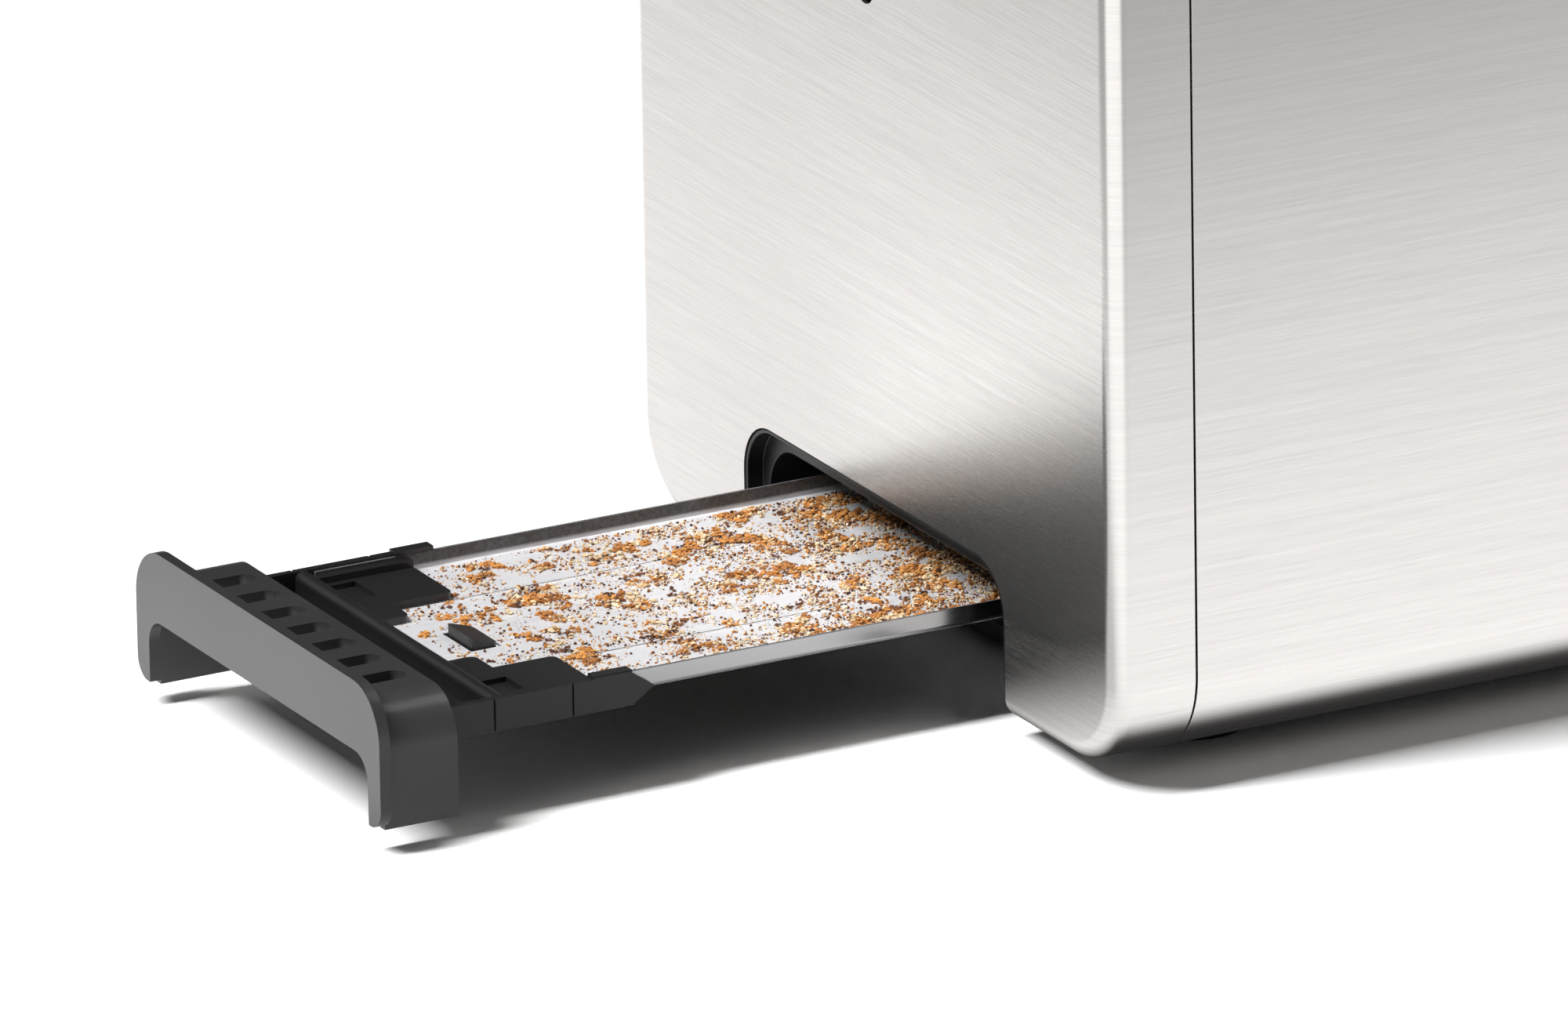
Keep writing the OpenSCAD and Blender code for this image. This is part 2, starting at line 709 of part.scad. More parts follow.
// Plate that carries both racks, the lever's arm and the armature, with two
// sleeves that run on the guide rods
module carriage_bracket() {
    x2 = carriage_x + carriage_t;
    tab_z = armature_z + armature_t;
    color(dark_steel) at_body() difference() {
        union() {
            block([carriage_x, -cross_half, rack_z], [x2, cross_half, rack_z + 10]);
            block([carriage_x, -8, rack_z], [x2, 8, lever_z + arm_h / 2]);
            for (s = [-1, 1]) {
                translate([rod_x, s * rod_gap / 2, rack_z + 2]) cylinder(r = sleeve_r, h = sleeve_h);
                block([rod_x, s * rod_gap / 2 - 1.5, rack_z + 2], [x2, s * rod_gap / 2 + 1.5, rack_z + 10]);
            }
            block([magnet_x + 2, magnet_y - 4, tab_z], [x2, magnet_y + 4, tab_z + 1.5]);
            block([carriage_x, magnet_y - 4, tab_z], [x2, 8, tab_z + 1.5]);
            block([rod_x - 4, spring_y - 4, rack_z + 8], [x2, spring_y + 4, rack_z + 10]);
        }
        for (s = [-1, 1]) translate([rod_x, s * rod_gap / 2, low_z])
            cylinder(r = rod_d / 2 + running, h = body_h);
    }
}

// Strip under the bread with short cross wires
module bread_rack(s) {
    x1 = carriage_x + carriage_t;
    x2 = rear_bulkhead_x - 4;
    y = s * slot_y;
    wires = 8;
    first = bulkhead_x + bulkhead_t + 12;
    color(steel) at_body() {
        block([x1, y - rack_t / 2, rack_z], [x2, y + rack_t / 2, rack_z + rack_h]);
        block([x1, y - 5, rack_z + 1], [x1 + 1.5, y + 5, rack_z + rack_h]);
        for (i = [0 : wires - 1])
            translate([first + i * (x2 - 8 - first) / (wires - 1), y + 9, rack_z + rack_h - 1])
                rotate([90, 0, 0])
                cylinder(d = 2, h = 18);
    }
}
module bread_rack_left() { bread_rack(1); }
module bread_rack_right() { bread_rack(-1); }

// Ring of points round the spring's wire at turn t
function spring_ring(t, z1, z2, sides) = let (a = 360 * t, p = t / spring_turns)
    [for (k = [0 : sides - 1]) let (b = 360 * k / sides, r = spring_r + spring_wire_r * cos(b))
        [r * cos(a), r * sin(a), z1 + (z2 - z1) * p + spring_wire_r * sin(b)]];

module carriage_spring() {
    sides = 6;
    steps = 12;
    rings = spring_turns * steps;
    z1 = rack_z + 10 + spring_wire_r + 0.05;
    z2 = upper_shelf_z - spring_wire_r - 0.05;
    points = [for (i = [0 : rings], p = spring_ring(i / steps, z1, z2, sides)) p];
    faces = concat([[for (k = [0 : sides - 1]) k]],
        [for (i = [0 : rings - 1], k = [0 : sides - 1])
            [i * sides + k, (i + 1) * sides + k, (i + 1) * sides + (k + 1) % sides,
                i * sides + (k + 1) % sides]],
        [[for (k = [sides - 1 : -1 : 0]) rings * sides + k]]);
    color(steel) at_body() translate([rod_x, spring_y, 0]) polyhedron(points, faces, convexity = 4);
}

module lever_arm() {
    color(steel) at_body()
        block([-knob_d * 0.35, -arm_t / 2, lever_z - arm_h / 2],
              [carriage_x, arm_t / 2, lever_z + arm_h / 2]);
}

module lever_knob() {
    r = knob_h / 2;
    back = -2.5;
    color(black_plastic) at_body() difference() {
        union() {
            hull() for (s = [-1, 1]) translate([-knob_d, s * (knob_w / 2 - r), lever_z]) rotate([0, 90, 0]) {
                cylinder(r = r - 1.5, h = 1.5, $fn = 32);
                translate([0, 0, 1.5]) cylinder(r = r, h = knob_d * 0.45, $fn = 32);
            }
            block([-knob_d * 0.6, -9, lever_z - r + 2.5], [back, 9, lever_z + r - 2.5]);
        }
        block([-knob_d * 0.35 - 0.1, -arm_t / 2 - 0.05, lever_z - arm_h / 2 - 0.05],
              [back + 1, arm_t / 2 + 0.05, lever_z + arm_h / 2 + 0.05]);
    }
}

// Holding magnet: a coil on a cheeked core
module electromagnet() {
    z = shelf_z + shelf_t;
    x = magnet_x;
    color(copper) at_body() {
        block([x, magnet_y - magnet_w / 2, z], [x + magnet_w, magnet_y + magnet_w / 2, z + 3]);
        translate([x + magnet_w / 2, magnet_y, z + 2]) cylinder(d = magnet_w - 2, h = magnet_h - 5);
        translate([x + magnet_w / 2, magnet_y, z + 2]) cylinder(d = 6, h = magnet_h - 2);
        for (dx = [0, magnet_w - 1.5])
            block([x + dx, magnet_y - 4, z], [x + dx + 1.5, magnet_y + 4, z + magnet_h]);
    }
}

module armature() {
    color(dark_steel) at_body()
        block([magnet_x, magnet_y - magnet_w / 2, armature_z],
              [magnet_x + magnet_w, magnet_y + magnet_w / 2, armature_z + armature_t]);
}

// Moulding behind the end face that guides the buttons and holds the board
module control_panel() {
    z1 = lever_z - travel - 14;
    z2 = lever_z + 9;
    x1 = sheet_t;
    color(black_plastic) at_body() difference() {
        union() {
            block([x1, -standoff_y - 6, z1], [x1 + panel_t, standoff_y + 6, z2]);
            for (y = [-standoff_y, standoff_y], z = standoff_heights()) rod_x(x1, y, z, 3.5, board_x - x1);
        }
        block([x1 - 1, -9, z1 + 8], [x1 + panel_t + 1, 9, z2 + 1]);
        for (z = button_z) {
            rod_x(x1 - 1, control_y, z, button_d / 2 + running, panel_t + 2);
            rod_x(x1 - 1, control_y + 12, z, light_d / 2 + 0.02, panel_t + 2);
        }
        rod_x(x1 - 1, -control_y, dial_z, dial_shaft_d / 2 + 1.2, panel_t + 2);
        for (y = [-standoff_y, standoff_y], z = standoff_heights())
            rod_x(board_x - 9, y, z, screw_r + thread_play, 10);
    }
}

function standoff_heights() = [lever_z - travel - 8, lever_z + 3];

module control_board() {
    color(board_green) at_body() difference() {
        union() {
            block([board_x, -body_w / 2 + 10.5, low_z + 52],
                  [board_x + board_t, body_w / 2 - 10.5, lever_z - travel - 14]);
            block([board_x, -body_w / 2 + 16.5, low_z + 52],
                  [board_x + board_t, body_w / 2 - 16.5, lever_z + 8]);
        }
        block([board_x - 1, -7, lever_z - travel - 12], [board_x + board_t + 1, 7, lever_z + 10]);
        for (y = [-standoff_y, standoff_y], z = standoff_heights())
            rod_x(board_x - 1, y, z, screw_r + 0.1, board_t + 2);
    }
}

module board_components() {
    x = board_x + board_t;
    z = low_z + 58;
    connector_y = (wire_y[0] + wire_y[1]) / 2;
    color(black_plastic) at_body() {
        block([x, 20, z], [x + 15, 36, z + 20]);
        block([x, -14, z + 4], [x + 2.5, 2, z + 14]);
        for (y = [-26, -40]) rod_x(x, y, z + 10, 5, 16);
        block([x, connector_y - 4, connector_z], [x + 13, connector_y + 4, connector_z + 14]);
        for (zb = button_z) block([board_x - 2.1, control_y - 3, zb - 3], [board_x, control_y + 3, zb + 3]);
    }
}

module dial_pot() {
    color(dark_steel) at_body() difference() {
        union() {
            block([board_x - pot_depth, -control_y - 8, dial_z - 8], [board_x, -control_y + 8, dial_z + 8]);
            rod_x(board_x - pot_depth - 3, -control_y, dial_z, dial_shaft_d / 2 + 1.1, 4);
        }
        rod_x(board_x - pot_depth - 4, -control_y, dial_z, dial_shaft_d / 2 + running, pot_depth + 1);
    }
}

module dial_shaft() {
    x1 = -dial_depth + 4;
    color(steel) at_body() rod_x(x1, -control_y, dial_z, dial_shaft_d / 2, board_x - 3.5 - x1);
}

module browning_dial() {
    grip = 1.2;
    color(black_plastic) at_body() difference() {
        union() {
            rod_x(-dial_depth, -control_y, dial_z, dial_d / 2 - grip, dial_depth - 1);
            rod_x(-dial_depth + 2, -control_y, dial_z, dial_d / 2, dial_depth - 3);
        }
        rod_x(-dial_depth + 3.9, -control_y, dial_z, dial_shaft_d / 2 + 0.01, dial_depth);
        block([-dial_depth - 1, -control_y - 0.7, dial_z + 4],
              [-dial_depth + 0.8, -control_y + 0.7, dial_z + dial_d]);
        for (a = [0 : 15 : 345]) translate([-dial_depth + 3.5, -control_y, dial_z]) rotate([a, 0, 0])
            translate([0, dial_d / 2 + 0.5, 0]) rotate([0, 90, 0]) cylinder(r = 1.1, h = dial_depth);
    }
}

module button(z) {
    x = sheet_t + panel_t;
    color(grey_plastic) at_body() {
        rod_x(-button_out, control_y, z, button_d / 2, button_out + x + 0.5);
        rod_x(x + 0.4, control_y, z, button_d / 2 + 1.1, 1.2);
        rod_x(x + 1.5, control_y, z, 2, board_x - 2.1 - button_travel - 0.3 - x - 1.5);
    }
}
module button_upper() { button(button_z[2]); }
module button_middle() { button(button_z[1]); }
module button_lower() { button(button_z[0]); }

module light_pipes() {
    color(clear_plastic) at_body() for (z = button_z)
        rod_x(-0.3, control_y + 12, z, light_d / 2, board_x - 0.6);
}

module cord_gland() {
    color(black_plastic) at_body() difference() {
        union() {
            rod_x(body_l - 10, gland_y, gland_z, gland_r - 0.1, 10 + eps);
            rod_x(body_l, gland_y, gland_z, gland_r + 2, gland_out);
            rod_x(body_l - sheet_t - 3, gland_y, gland_z, gland_r + 1.4, 3);
        }
        rod_x(body_l - 11, gland_y, gland_z, gland_bore / 2, gland_out + 12);
    }
}

module terminal_block() {
    y = (wire_y[0] + wire_y[1]) / 2;
    z = low_z + sheet_t + ear_t;
    color(clear_plastic) at_body() difference() {
        block([terminal_x, y - 6, z], [terminal_x + 11, y + 12, z + 12]);
        for (dy = [-2, 6]) translate([terminal_x + 5.5, y + dy, z + 6]) cylinder(r = 1.8, h = 10);
    }
}

// Two wires from the terminal block along the side and up to the board
module mains_wires() {
    color(black_plastic) at_body() for (y = wire_y) {
        rod_x(wire_x + wire_bend, y, wire_z, wire_r, terminal_x - wire_x - wire_bend);
        translate([wire_x + wire_bend, y, wire_z + wire_bend]) rotate([90, 180, 0])
            rotate_extrude(angle = 90) translate([wire_bend, 0]) circle(r = wire_r);
        translate([wire_x, y, wire_z + wire_bend]) cylinder(r = wire_r, h = connector_z - wire_z - wire_bend);
    }
}

// Screw that points up, the underside of its head at Z = 0
module screw(length) {
    cylinder(r = screw_r, h = length);
    translate([0, 0, -1.2]) difference() {
        cylinder(r = 3, h = 1.2);
        translate([0, 0, -1]) cylinder(r = 1.4, h = 1.6, $fn = 6);
    }
}

module base_screws() {
    color(dark_steel) at_body() for (p = base_screw_places())
        translate([p[0], p[1], low_z + 1.4]) screw(base_t + 2);
}

module cap_screws() {
    color(dark_steel) at_body() for (x = [cap_depth / 2, body_l - cap_depth / 2], s = [-1, 1])
        translate([x, s * (base_half - 5.5), low_z]) screw(sheet_t + 5);
}

module board_screws() {
    color(dark_steel) at_body() for (y = [-standoff_y, standoff_y], z = standoff_heights())
        translate([board_x + board_t, y, z]) rotate([0, -90, 0]) screw(9);
}

end_cap_front();
end_cap_rear();
wrap_cover();
slot_trim();
base_plate();
foot_front_left();
foot_front_right();
foot_rear_left();
foot_rear_right();
tray_bezel();
tray_handle();
tray_carrier();
tray_pan();
front_bulkhead();
rear_bulkhead();
heater_card_left();
heater_card_centre();
heater_card_right();
heater_winding_left();
heater_winding_centre();
heater_winding_right();
reflector_left();
reflector_right();
guide_left_outer();
guide_left_inner();
guide_right_inner();
guide_right_outer();
guide_rod_left();
guide_rod_right();
carriage_bracket();
bread_rack_left();
bread_rack_right();
carriage_spring();
lever_arm();
lever_knob();
electromagnet();
armature();
control_panel();
control_board();
board_components();
dial_pot();
dial_shaft();
browning_dial();
button_upper();
button_middle();
button_lower();
light_pipes();
cord_gland();
terminal_block();
mains_wires();
base_screws();
cap_screws();
board_screws();
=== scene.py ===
"""Looks for the pop-up toaster: steel casing, crumb tray with crumbs, moulded parts and wires."""

import json
import math

import bmesh
import bpy
import numpy as np
from mathutils import Matrix, Vector, noise

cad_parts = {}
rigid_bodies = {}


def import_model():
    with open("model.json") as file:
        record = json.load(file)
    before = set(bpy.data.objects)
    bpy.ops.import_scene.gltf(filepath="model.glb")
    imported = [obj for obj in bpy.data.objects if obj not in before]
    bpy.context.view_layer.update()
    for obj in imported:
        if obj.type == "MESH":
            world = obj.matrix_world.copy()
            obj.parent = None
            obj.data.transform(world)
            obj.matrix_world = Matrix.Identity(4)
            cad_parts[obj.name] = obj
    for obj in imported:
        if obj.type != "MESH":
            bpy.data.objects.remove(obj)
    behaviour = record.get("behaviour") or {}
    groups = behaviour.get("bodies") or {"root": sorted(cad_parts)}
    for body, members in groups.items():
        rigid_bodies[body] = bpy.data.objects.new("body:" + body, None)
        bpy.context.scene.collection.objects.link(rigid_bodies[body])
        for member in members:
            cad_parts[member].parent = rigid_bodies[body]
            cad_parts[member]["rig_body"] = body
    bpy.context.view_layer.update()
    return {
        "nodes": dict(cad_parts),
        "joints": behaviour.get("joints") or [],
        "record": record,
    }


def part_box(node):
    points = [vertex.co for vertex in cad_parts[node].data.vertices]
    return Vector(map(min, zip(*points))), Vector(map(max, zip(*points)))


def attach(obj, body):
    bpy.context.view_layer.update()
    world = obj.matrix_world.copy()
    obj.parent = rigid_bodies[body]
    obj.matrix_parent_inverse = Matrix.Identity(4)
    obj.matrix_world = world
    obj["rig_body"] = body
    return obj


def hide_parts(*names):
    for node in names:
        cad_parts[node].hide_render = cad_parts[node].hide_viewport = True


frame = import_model()
MM = 0.001

# Casing
SHEET = 0.8 * MM
UPPER_R = 22 * MM
LOWER_R = 16 * MM
FACE_R = 3.4 * MM
NOTCH_R = 9.4 * MM
RIM_R = 0.5 * MM
FLANGE = 20.5 * MM
SLOT_CORNER_R = 3 * MM
BUTTON_HOLE_R = 5.8 * MM
LIGHT_HOLE_R = 1.3 * MM
LIGHT_PITCH = 12 * MM
SHAFT_HOLE_R = 4.2 * MM
GLAND_HOLE_R = 9 * MM

# Crumb tray
PAN_SHEET = 0.6 * MM
PAN_BEND_R = 1.0 * MM
BEAD_Y = 17.5 * MM
BEAD_R = 0.32 * MM
# How much of the pan the body hides at rest
HIDDEN_PAN = 60 * MM

cap_low, cap_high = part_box("end_cap_front")
wrap_low, wrap_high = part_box("wrap_cover")
pan_low, pan_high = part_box("tray_pan")
carrier_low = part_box("tray_carrier")[0]
FACE_X = cap_low.x
BEAD_END = carrier_low.x + 84 * MM
BAR_X = carrier_low.x + 9.3 * MM


# ---------------------------------------------------------------- modelling

def deselect():
    if bpy.context.object and bpy.context.object.mode != "OBJECT":
        bpy.ops.object.mode_set(mode="OBJECT")
    bpy.ops.object.select_all(action="DESELECT")


def activate(piece):
    deselect()
    piece.select_set(True)
    bpy.context.view_layer.objects.active = piece


def named(name):
    piece = bpy.context.object
    piece.name = name
    piece.data.name = name
    return piece


def settle(piece):
    """Puts the object at the origin, with its place in its mesh."""
    activate(piece)
    bpy.ops.object.transform_apply(location=True, rotation=True, scale=True)
    return piece


def add_block(name, low, high):
    deselect()
    low, high = Vector(low), Vector(high)
    bpy.ops.mesh.primitive_cube_add(size=1, location=(low + high) / 2, scale=high - low)
    return settle(named(name))


def add_rod(name, start, end, radius, sides=32):
    deselect()
    start, end = Vector(start), Vector(end)
    way = end - start
    turn = way.to_track_quat("Z", "Y").to_euler()
    bpy.ops.mesh.primitive_cylinder_add(vertices=sides, radius=radius, depth=way.length,
                                        location=(start + end) / 2, rotation=turn)
    return settle(named(name))


def pick(piece, kind, test):
    """Enters edit mode with just the edges or faces that pass the test."""
    activate(piece)
    bpy.ops.object.mode_set(mode="EDIT")
    bpy.ops.mesh.select_mode(type="EDGE" if kind == "edges" else "FACE")
    bpy.ops.mesh.select_all(action="DESELECT")
    mesh = bmesh.from_edit_mesh(piece.data)
    for part in getattr(mesh, kind):
        part.select_set(bool(test(part)))
    mesh.select_flush_mode()
    bmesh.update_edit_mesh(piece.data)


def leave():
    bpy.ops.object.mode_set(mode="OBJECT")


def near(a, b):
    return abs(a - b) < 1e-6


def along(edge, axis):
    a, b = (v.co for v in edge.verts)
    return all(near(a[i], b[i]) for i in range(3) if i != axis)


def round_edges(piece, test, radius, segments):
    pick(piece, "edges", test)
    bpy.ops.mesh.bevel(offset=radius, segments=segments, profile=0.5, affect="EDGES")
    leave()


def remove_faces(piece, test):
    pick(piece, "faces", test)
    bpy.ops.mesh.delete(type="FACE")
    leave()


def modify(piece, kind, **settings):
    activate(piece)
    modifier = piece.modifiers.new(kind.lower(), kind)
    for name, value in settings.items():
        setattr(modifier, name, value)
    bpy.ops.object.modifier_apply(modifier=modifier.name)
    return piece


def thicken(piece, wall):
    """Gives a shell its wall, inwards from its faces."""
    return modify(piece, "SOLIDIFY", thickness=wall, offset=-1, use_even_offset=True)


def cut(piece, *cutters):
    for cutter in cutters:
        modify(piece, "BOOLEAN", operation="DIFFERENCE", solver="EXACT", object=cutter)
        bpy.data.objects.remove(cutter)
    return piece


def clean_mesh(piece):
    """Welds the corners, joins flat triangles into faces and turns every face outwards."""
    activate(piece)
    bpy.ops.object.mode_set(mode="EDIT")
    bpy.ops.mesh.select_all(action="SELECT")
    bpy.ops.mesh.remove_doubles(threshold=1e-6)
    bpy.ops.mesh.dissolve_limited(angle_limit=math.radians(0.5))
    bpy.ops.mesh.normals_make_consistent(inside=False)
    leave()
    return piece


def soften(piece, width, segments=3):
    """Rounds every sharp edge a little and keeps flat faces looking flat."""
    modify(piece, "BEVEL", width=width, segments=segments, limit_method="ANGLE",
           angle_limit=math.radians(35), miter_outer="MITER_ARC")
    bpy.ops.object.shade_smooth_by_angle(angle=math.radians(32))
    return modify(piece, "WEIGHTED_NORMAL", keep_sharp=True, weight=60)


def copy_node(node):
    """A copy of a CAD node as one clean mesh, to round its edges."""
    source = frame["nodes"][node]
    piece = bpy.data.objects.new(node + "_shape", source.data.copy())
    bpy.context.scene.collection.objects.link(piece)
    piece.data.materials.clear()
    return clean_mesh(piece)


def join(name, *pieces):
    deselect()
    for piece in pieces:
        piece.select_set(True)
    bpy.context.view_layer.objects.active = pieces[0]
    bpy.ops.object.join()
    return named(name)


def place(piece, body, material, slot, *nodes):
    """Gives a finished piece its finish and its body."""
    piece.data.materials.clear()
    piece.data.materials.append(material)
    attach(piece, body)
    if nodes:
        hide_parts(*nodes)
    return piece


# ---------------------------------------------------------------- materials

class Value:
    """A number or colour that varies over a surface. Sums and products add Math nodes."""

    def __init__(self, sheet, socket):
        self.sheet = sheet
        self.socket = socket

    def __add__(self, other):
        return self.sheet.maths("ADD", self, other)

    def __radd__(self, other):
        return self.sheet.maths("ADD", other, self)

    def __sub__(self, other):
        return self.sheet.maths("SUBTRACT", self, other)

    def __rsub__(self, other):
        return self.sheet.maths("SUBTRACT", other, self)

    def __mul__(self, other):
        return self.sheet.maths("MULTIPLY", self, other)

    def __rmul__(self, other):
        return self.sheet.maths("MULTIPLY", other, self)

    def __pow__(self, other):
        return self.sheet.maths("POWER", self, other)


class Sheet:
    """One material and its nodes."""

    def __init__(self, name, **settings):
        self.material = bpy.data.materials.new(name)
        self.material.use_nodes = True
        self.tree = self.material.node_tree
        self.shader = self.tree.nodes["Principled BSDF"]
        for socket, value in settings.items():
            self.set(socket.replace("_", " ").title().replace("Ior", "IOR"), value)

    def set(self, socket, value):
        target = self.shader.inputs[socket]
        if isinstance(value, Value):
            self.tree.links.new(value.socket, target)
        elif target.type == "RGBA":
            target.default_value = (*value, 1)
        else:
            target.default_value = value

    def node(self, kind, settings=None, inputs=None, output=0):
        made = self.tree.nodes.new(kind)
        for name, value in (settings or {}).items():
            if name == "stops":
                self.set_stops(made.color_ramp, value)
            else:
                setattr(made, name, value)
        for name, value in (inputs or {}).items():
            target = made.inputs[name]
            if isinstance(value, Value):
                self.tree.links.new(value.socket, target)
            elif target.type == "RGBA" and len(value) == 3:
                target.default_value = (*value, 1)
            else:
                target.default_value = value
        return Value(self, made.outputs[output])

    def set_stops(self, ramp, stops):
        while len(ramp.elements) < len(stops):
            ramp.elements.new(0.5)
        for element, (position, colour) in zip(ramp.elements, stops):
            element.position = position
            element.color = (*colour, 1)

    def coordinates(self):
        return self.node("ShaderNodeTexCoord", output="Object")

    def axes(self):
        """The x, y and z of the point, in the object's own space."""
        parts = self.tree.nodes.new("ShaderNodeSeparateXYZ")
        self.tree.links.new(self.coordinates().socket, parts.inputs[0])
        return [Value(self, parts.outputs[i]) for i in range(3)]

    def maths(self, operation, *values):
        return self.node("ShaderNodeMath", {"operation": operation}, dict(enumerate(values)))

    def bell(self, value):
        """1 where the value is 0, falling away on both sides."""
        return self.maths("EXPONENT", -1.0 * value)

    def glow(self, level):
        """Makes the surface give off a grey of this level, and nothing else."""
        self.set("Emission Color", self.node("ShaderNodeCombineXYZ", None, {0: level, 1: level, 2: level}))
        self.set("Emission Strength", 1.0)

    def stretched(self, scale, turn=(0, 0, 0)):
        return self.node("ShaderNodeMapping", None,
                         {"Vector": self.coordinates(), "Scale": scale, "Rotation": turn})

    def noise(self, scale, detail=2.0, roughness=0.5, vector=None):
        return self.node("ShaderNodeTexNoise", None,
                         {"Vector": vector or self.coordinates(), "Scale": scale,
                          "Detail": detail, "Roughness": roughness})

    def spread(self, value, low, high, to_low=0.0, to_high=1.0):
        return self.node("ShaderNodeMapRange", None,
                         {"Value": value, "From Min": low, "From Max": high,
                          "To Min": to_low, "To Max": to_high})

    def blend(self, factor, first, second):
        made = self.tree.nodes.new("ShaderNodeMix")
        made.data_type = "RGBA"
        pairs = (made.inputs[0], factor), (made.inputs[6], first), (made.inputs[7], second)
        for target, value in pairs:
            if isinstance(value, Value):
                self.tree.links.new(value.socket, target)
            elif target.type == "RGBA":
                target.default_value = (*value, 1)
            else:
                target.default_value = value
        return Value(self, made.outputs[2])

    def bump(self, height, distance, strength=1.0):
        self.set("Normal", self.node("ShaderNodeBump", None,
                                     {"Height": height, "Distance": distance, "Strength": strength}))


def brushed_steel(name):
    """Stainless sheet with fine straight brushing that runs level round the body."""
    sheet = Sheet(name, metallic=1.0)
    fine, long = 7500, 85
    scale = (long, long, fine)
    streak = sheet.noise(1.0, 4.0, 0.65, sheet.stretched(scale))
    broad = sheet.noise(1.0, 2.0, 0.5, sheet.stretched([s * 0.22 for s in scale]))
    cloud = sheet.noise(9.0, 2.0)
    mark = sheet.spread(streak * 0.7 + broad * 0.3, 0.3, 0.7)
    tone, warm = 0.9, (1.0, 0.965, 0.94)
    dark, light = ([tone * share * c for c in warm] for share in (0.9, 1.1))
    sheet.set("Base Color", sheet.blend(mark, dark, light))
    sheet.set("Roughness", sheet.spread(mark, 0, 1, 0.31, 0.25) + (cloud - 0.5) * 0.05)
    sheet.bump(mark, 0.004 * MM, 0.5)
    return sheet.material


def sheet_metal(name, colour, roughness, mottle, bump=0.15):
    """Rolled or plated sheet with a faint mottle and a few rubbed streaks."""
    sheet = Sheet(name, metallic=1.0)
    cloud = sheet.noise(60, 4.0)
    rub = sheet.noise(1.0, 3.0, 0.6, sheet.stretched((60, 1600, 900)))
    low = [c * (1 - mottle) for c in colour]
    high = [min(1, c * (1 + mottle * 0.6)) for c in colour]
    sheet.set("Base Color", sheet.blend(sheet.spread(cloud * 0.6 + rub * 0.4, 0.35, 0.65), low, high))
    sheet.set("Roughness", roughness + (rub - 0.5) * 0.12 + (cloud - 0.5) * 0.1)
    sheet.bump(rub, 0.01 * MM, bump)
    return sheet.material


def pan_metal(name):
    """The pan's plated sheet: a pale rubbed floor with two dark bead lines of painted shade, dull inside
    walls darkened with painted shade, and bright smooth walls outside."""
    sheet = Sheet(name)
    x, y, z = sheet.axes()
    out = sheet.maths("ABSOLUTE", y)
    wall = sheet.spread(z, pan_low.z + 0.9 * MM, pan_low.z + 1.6 * MM)
    skin = sheet.spread(out, pan_high.y - 0.45 * MM, pan_high.y - 0.2 * MM)
    off_bead = sheet.maths("ABSOLUTE", out - BEAD_Y)
    bead = sheet.spread(off_bead, 0.25 * MM, 0.12 * MM) * sheet.spread(x, BEAD_END, BEAD_END - MM)
    inside_wall = wall * (1 - skin)
    cloud = sheet.noise(60, 4.0)
    rub = sheet.noise(1.0, 3.0, 0.6, sheet.stretched((60, 1600, 900)))
    speck = sheet.noise(1500, 2.0)
    shade = sheet.spread(cloud * 0.6 + rub * 0.4, 0.35, 0.65)
    floor_colour = sheet.blend(shade, (0.66, 0.66, 0.69), (0.80, 0.80, 0.82))
    # painted shade: the inside walls are drawn dark grey, not the pale plated colour
    painted_wall_shade = sheet.blend(sheet.spread(speck, 0.3, 0.7), (0.07, 0.07, 0.072), (0.13, 0.13, 0.132))
    colour = sheet.blend(skin, floor_colour, (0.56, 0.56, 0.57))
    colour = sheet.blend(inside_wall, colour, painted_wall_shade)
    # painted shade: a dark line along each bead
    sheet.set("Base Color", sheet.blend(bead, colour, (0.05, 0.05, 0.05)))
    sheet.set("Metallic", 0.3 + skin * 0.7)
    sheet.set("Roughness", 0.3 + inside_wall * 0.2 - skin * 0.1 + (rub - 0.5) * 0.12)
    sheet.bump(rub, 0.01 * MM, 0.1)
    return sheet.material


def moulded(name, colour, roughness, grain=0.35, specular=1.0):
    """Injection moulded plastic with a fine even grain."""
    sheet = Sheet(name)
    sheet.set("Specular IOR Level", specular)
    texture = sheet.noise(2600, 3.0, 0.6)
    cloud = sheet.noise(45, 2.0)
    low = [c * 0.86 for c in colour]
    high = [min(1, c * 1.14) for c in colour]
    mottle = sheet.spread(texture * 0.5 + cloud * 0.5, 0.35, 0.65)
    sheet.set("Base Color", sheet.blend(mottle, low, high))
    sheet.set("Roughness", roughness + (texture - 0.5) * 0.12 + (cloud - 0.5) * 0.08)
    sheet.bump(texture, 0.03 * MM, grain)
    return sheet.material


def card(name):
    """Flaky mica board with pale flecks."""
    sheet = Sheet(name)
    flake = sheet.node("ShaderNodeTexVoronoi", None,
                       {"Vector": sheet.coordinates(), "Scale": 420.0}, "Color")
    cloud = sheet.noise(130, 4.0)
    grey = sheet.node("ShaderNodeRGBToBW", None, {0: flake})
    sheet.set("Base Color", sheet.blend(sheet.spread(grey * 0.5 + cloud * 0.5, 0.25, 0.75),
                                        (0.36, 0.29, 0.17), (0.66, 0.58, 0.40)))
    sheet.set("Roughness", 0.4 + grey * 0.3)
    sheet.bump(cloud, 0.1 * MM, 0.3)
    return sheet.material


def ribbon(name):
    """Heating ribbon, dulled and tinted by heat."""
    sheet = Sheet(name, metallic=1.0)
    tint = sheet.noise(40, 3.0)
    sheet.set("Base Color", sheet.blend(sheet.spread(tint, 0.35, 0.65),
                                        (0.20, 0.13, 0.09), (0.46, 0.38, 0.33)))
    sheet.set("Roughness", 0.35 + tint * 0.3)
    return sheet.material


